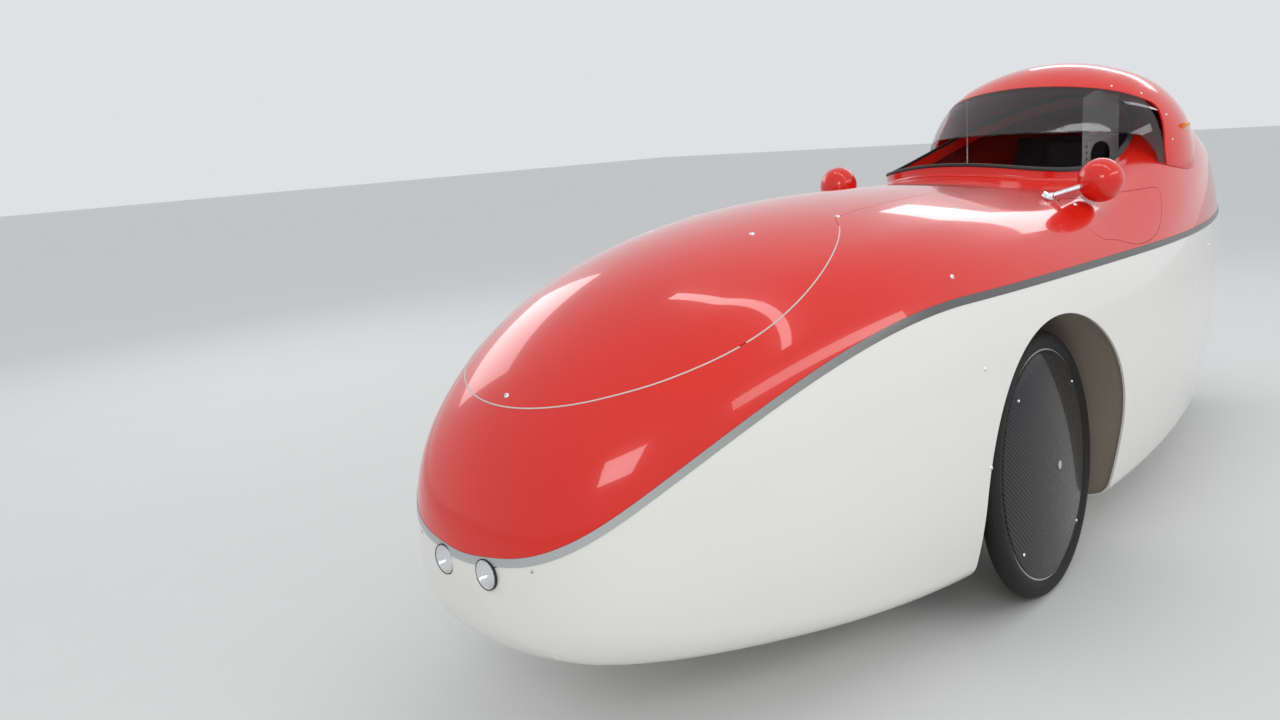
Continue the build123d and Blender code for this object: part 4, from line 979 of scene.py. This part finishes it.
# %% [markdown]
# ## Seat pad and headrest
# The rider lies on a laminate shell with a thin pad of spacer mesh and a foam headrest. Each pad starts from its
# plain solid, is blown up a little as cloth so its faces crown, and is then quilted with sewn channels.


# %% Pads blown up as cloth
def along_line(points, line):
    """Length along a side line (place, height) at the nearest spot to each point."""
    start, step = line[:-1], np.diff(line, axis=0)
    run = np.concatenate(([0], np.cumsum(np.hypot(*step.T))))[:-1]
    spot = points[:, None, ::2] - start
    share = np.clip((spot * step).sum(-1) / (step**2).sum(-1), 0, 1)
    nearest = np.linalg.norm(spot - share[..., None] * step, axis=-1).argmin(axis=1)
    row = np.arange(len(points))
    return run[nearest] + share[row, nearest] * np.hypot(*step[nearest].T)


def read_rows(items, field):
    """A field of three numbers of every item, one row each."""
    rows = np.empty(3 * len(items))
    items.foreach_get(field, rows)
    return rows.reshape(-1, 3)


voxel, channel_depth, channel_half, pressure, last_frame = 6 * mm, 3.2 * mm, 4 * mm, 4, 20


def pad(name, node_name, line, pitch, cap, inset):
    """A copy of a plain cushion, shrunk by inset, remeshed, blown up by at most cap, then quilted across."""
    piece = bpy.data.objects.new(name, nodes[node_name].data.copy())
    bpy.context.scene.collection.objects.link(piece)
    low, high = (np.array(corner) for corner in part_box(node_name))
    middle = (low + high) / 2
    places = middle + (read_rows(piece.data.vertices, "co") - middle) * (1 - 2 * inset / (high - low))
    piece.data.vertices.foreach_set("co", places.ravel())
    whole = bmesh.new()
    whole.from_mesh(piece.data)
    bmesh.ops.remove_doubles(whole, verts=whole.verts, dist=1e-6)
    whole.to_mesh(piece.data)
    whole.free()
    remesh = piece.modifiers.new("remesh", "REMESH")
    remesh.mode, remesh.voxel_size = "VOXEL", voxel
    piece.data = bpy.data.meshes.new_from_object(piece.evaluated_get(bpy.context.evaluated_depsgraph_get()))
    piece.modifiers.clear()
    before = after = read_rows(piece.data.vertices, "co")
    cloth = piece.modifiers.new("cloth", "CLOTH")
    cloth.settings.use_pressure = True
    cloth.settings.uniform_pressure_force = pressure
    cloth.settings.effector_weights.gravity = 0
    for frame_number in range(1, last_frame + 1):
        bpy.context.scene.frame_set(frame_number)
    blown = piece.evaluated_get(bpy.context.evaluated_depsgraph_get()).to_mesh()
    after = read_rows(blown.vertices, "co")
    piece.modifiers.clear()
    bpy.context.scene.frame_set(1)
    move = after - before
    length = np.linalg.norm(move, axis=1, keepdims=True)
    after = before + move * np.minimum(1, cap / np.maximum(length, 1e-9))
    away = (along_line(after, mm * np.array(line, float)) + pitch / 2) % pitch - pitch / 2
    channel = channel_depth * np.exp(-((away / channel_half) ** 2))
    after -= read_rows(piece.data.vertices, "normal") * channel[:, None]
    piece.data.vertices.foreach_set("co", after.ravel())
    piece.data.polygons.foreach_set("use_smooth", np.ones(len(piece.data.polygons), bool))
    piece.data.materials.clear()
    piece.data.materials.append(mesh_cloth)
    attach(piece, "body")
    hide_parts(node_name)
    print(f"{name}: {len(piece.data.polygons)} faces, moved at most {length.max() / mm:.1f} mm")


seat_side = [(75, 165), (-20, 92), (-130, 81), (-330, 330), (-470, 590), (-548, 775)]
pad("seat_quilt", "seat_pad", seat_side, 62 * mm, 6 * mm, 4 * mm)
pad("head_quilt", "headrest", seat_side[-2:], 44 * mm, 8 * mm, 5 * mm)

# %% [markdown]
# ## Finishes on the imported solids
# The running gear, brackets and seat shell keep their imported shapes. Each gets a finish with its own grain:
# turned steel, anodised alloy, bare laminate, or clear sheet with polished edges.

# %% Dress the remaining solids
dressed = {
    "hood_hinge": alloy, "tiller": alloy, "tiller_socket": alloy, "tail_lamp": tail_red, "tiller_grips": rubber,
    "rear_wheel": alloy, "rear_swingarm": black_alloy, "seat_shell": laminate_black,
}
for name in ("left", "right"):
    dressed |= {
        f"visor_bracket_{name}": clear, f"wheel_box_{name}": laminate, f"strut_rod_{name}": steel,
        f"lower_arm_{name}": black_alloy, f"knuckle_{name}": black_alloy, f"front_wheel_{name}": alloy,
    }
for name, material in dressed.items():
    for holder in nodes[name].material_slots:
        holder.material = material
print("dressed", len(dressed), "packed solids")

# %% [markdown]
# ## Camera, light and floor
# The photograph was taken close to the left front corner, a little above the shell, with a wide lens and a
# slight roll. A soft box near the camera and narrow strips give the long highlights, and a pale sky fills in.

# %% Camera at the photograph's angle
eye = np.array((2.160, 1.184, 0.845))
yaw, pitch, roll = np.radians((226.10, 11.52, -4.04))
focal_pixels, image_width, sensor = 1089.0, 1280.0, 36.0
ahead = np.array((np.cos(yaw) * np.cos(pitch), np.sin(yaw) * np.cos(pitch), -np.sin(pitch)))
right = unit(np.cross(ahead, (0, 0, 1)))
up = np.cross(right, ahead)
across = np.cos(roll) * right + np.sin(roll) * up
upward = -np.sin(roll) * right + np.cos(roll) * up
camera = bpy.data.objects.new("camera", bpy.data.cameras.new("camera"))
bpy.context.scene.collection.objects.link(camera)
pose = np.eye(4)
pose[:3] = np.stack((across, upward, -ahead, eye), -1)
camera.matrix_world = Matrix(pose)
camera.data.sensor_width = sensor
camera.data.lens = sensor * focal_pixels / image_width
camera.data.clip_start = 0.05
bpy.context.scene.camera = camera
print("lens", round(camera.data.lens, 2), "mm")


# %% Soft boxes, sky and floor
def soft_box(name, spot, target, width, height, watts):
    """A rectangular lamp that faces a point."""
    lamp = bpy.data.lights.new(name, "AREA")
    lamp.shape, lamp.size, lamp.size_y, lamp.energy = "RECTANGLE", width, height, watts
    holder = bpy.data.objects.new(name, lamp)
    bpy.context.scene.collection.objects.link(holder)
    back, first, second = cross_axes(np.asarray(spot, float) - np.asarray(target, float))
    matrix = np.eye(4)
    matrix[:3] = np.stack((first, second, back, spot), -1)
    holder.matrix_world = Matrix(matrix)


soft_box("front_box", (3.4, 2.2, 2.2), (0.9, 0.2, 0.4), 1.3, 0.9, 22)
soft_box("left_box", (-0.6, 3.6, 2.4), (0, 0, 0.4), 3.4, 0.5, 20)
soft_box("right_box", (0.2, -3.8, 2.2), (0, 0, 0.4), 2.4, 1.2, 17)
soft_box("top_strip", (0.2, 0.55, 3.0), (0, 0, 0.4), 3.6, 0.16, 11)
soft_box("back_box", (-3.4, -0.6, 2.4), (-0.6, 0, 0.4), 2.2, 0.45, 8)

world = bpy.data.worlds.new("studio")
bpy.context.scene.world = world
world.use_nodes = True
sky = world.node_tree.nodes["Background"]
sky.inputs["Color"].default_value = (0.9, 0.92, 0.95, 1)
sky.inputs["Strength"].default_value = 0.82

floor_half = 30.0
floor_mesh = bpy.data.meshes.new("floor")
floor_edge = np.linspace(-floor_half, floor_half, 9)
floor_x, floor_y = np.meshgrid(floor_edge, floor_edge, indexing="ij")
floor_mesh.from_pydata(
    np.stack((floor_x, floor_y, 0 * floor_x - 0.2 * mm), -1).reshape(-1, 3).tolist(), [],
    grid_quads(len(floor_edge), len(floor_edge)).tolist(),
)
floor = bpy.data.objects.new("floor", floor_mesh)
bpy.context.scene.collection.objects.link(floor)
floor_finish = finish("pale_floor", (0.70, 0.70, 0.69), 0.8)
cloud = blend(floor_finish, noise(floor_finish, 4.0), (0.69, 0.69, 0.68), (0.71, 0.71, 0.70))
feed(floor_finish, "Base Color", cloud)
floor_mesh.materials.append(floor_finish)
bpy.context.scene.view_settings.view_transform = "Standard"
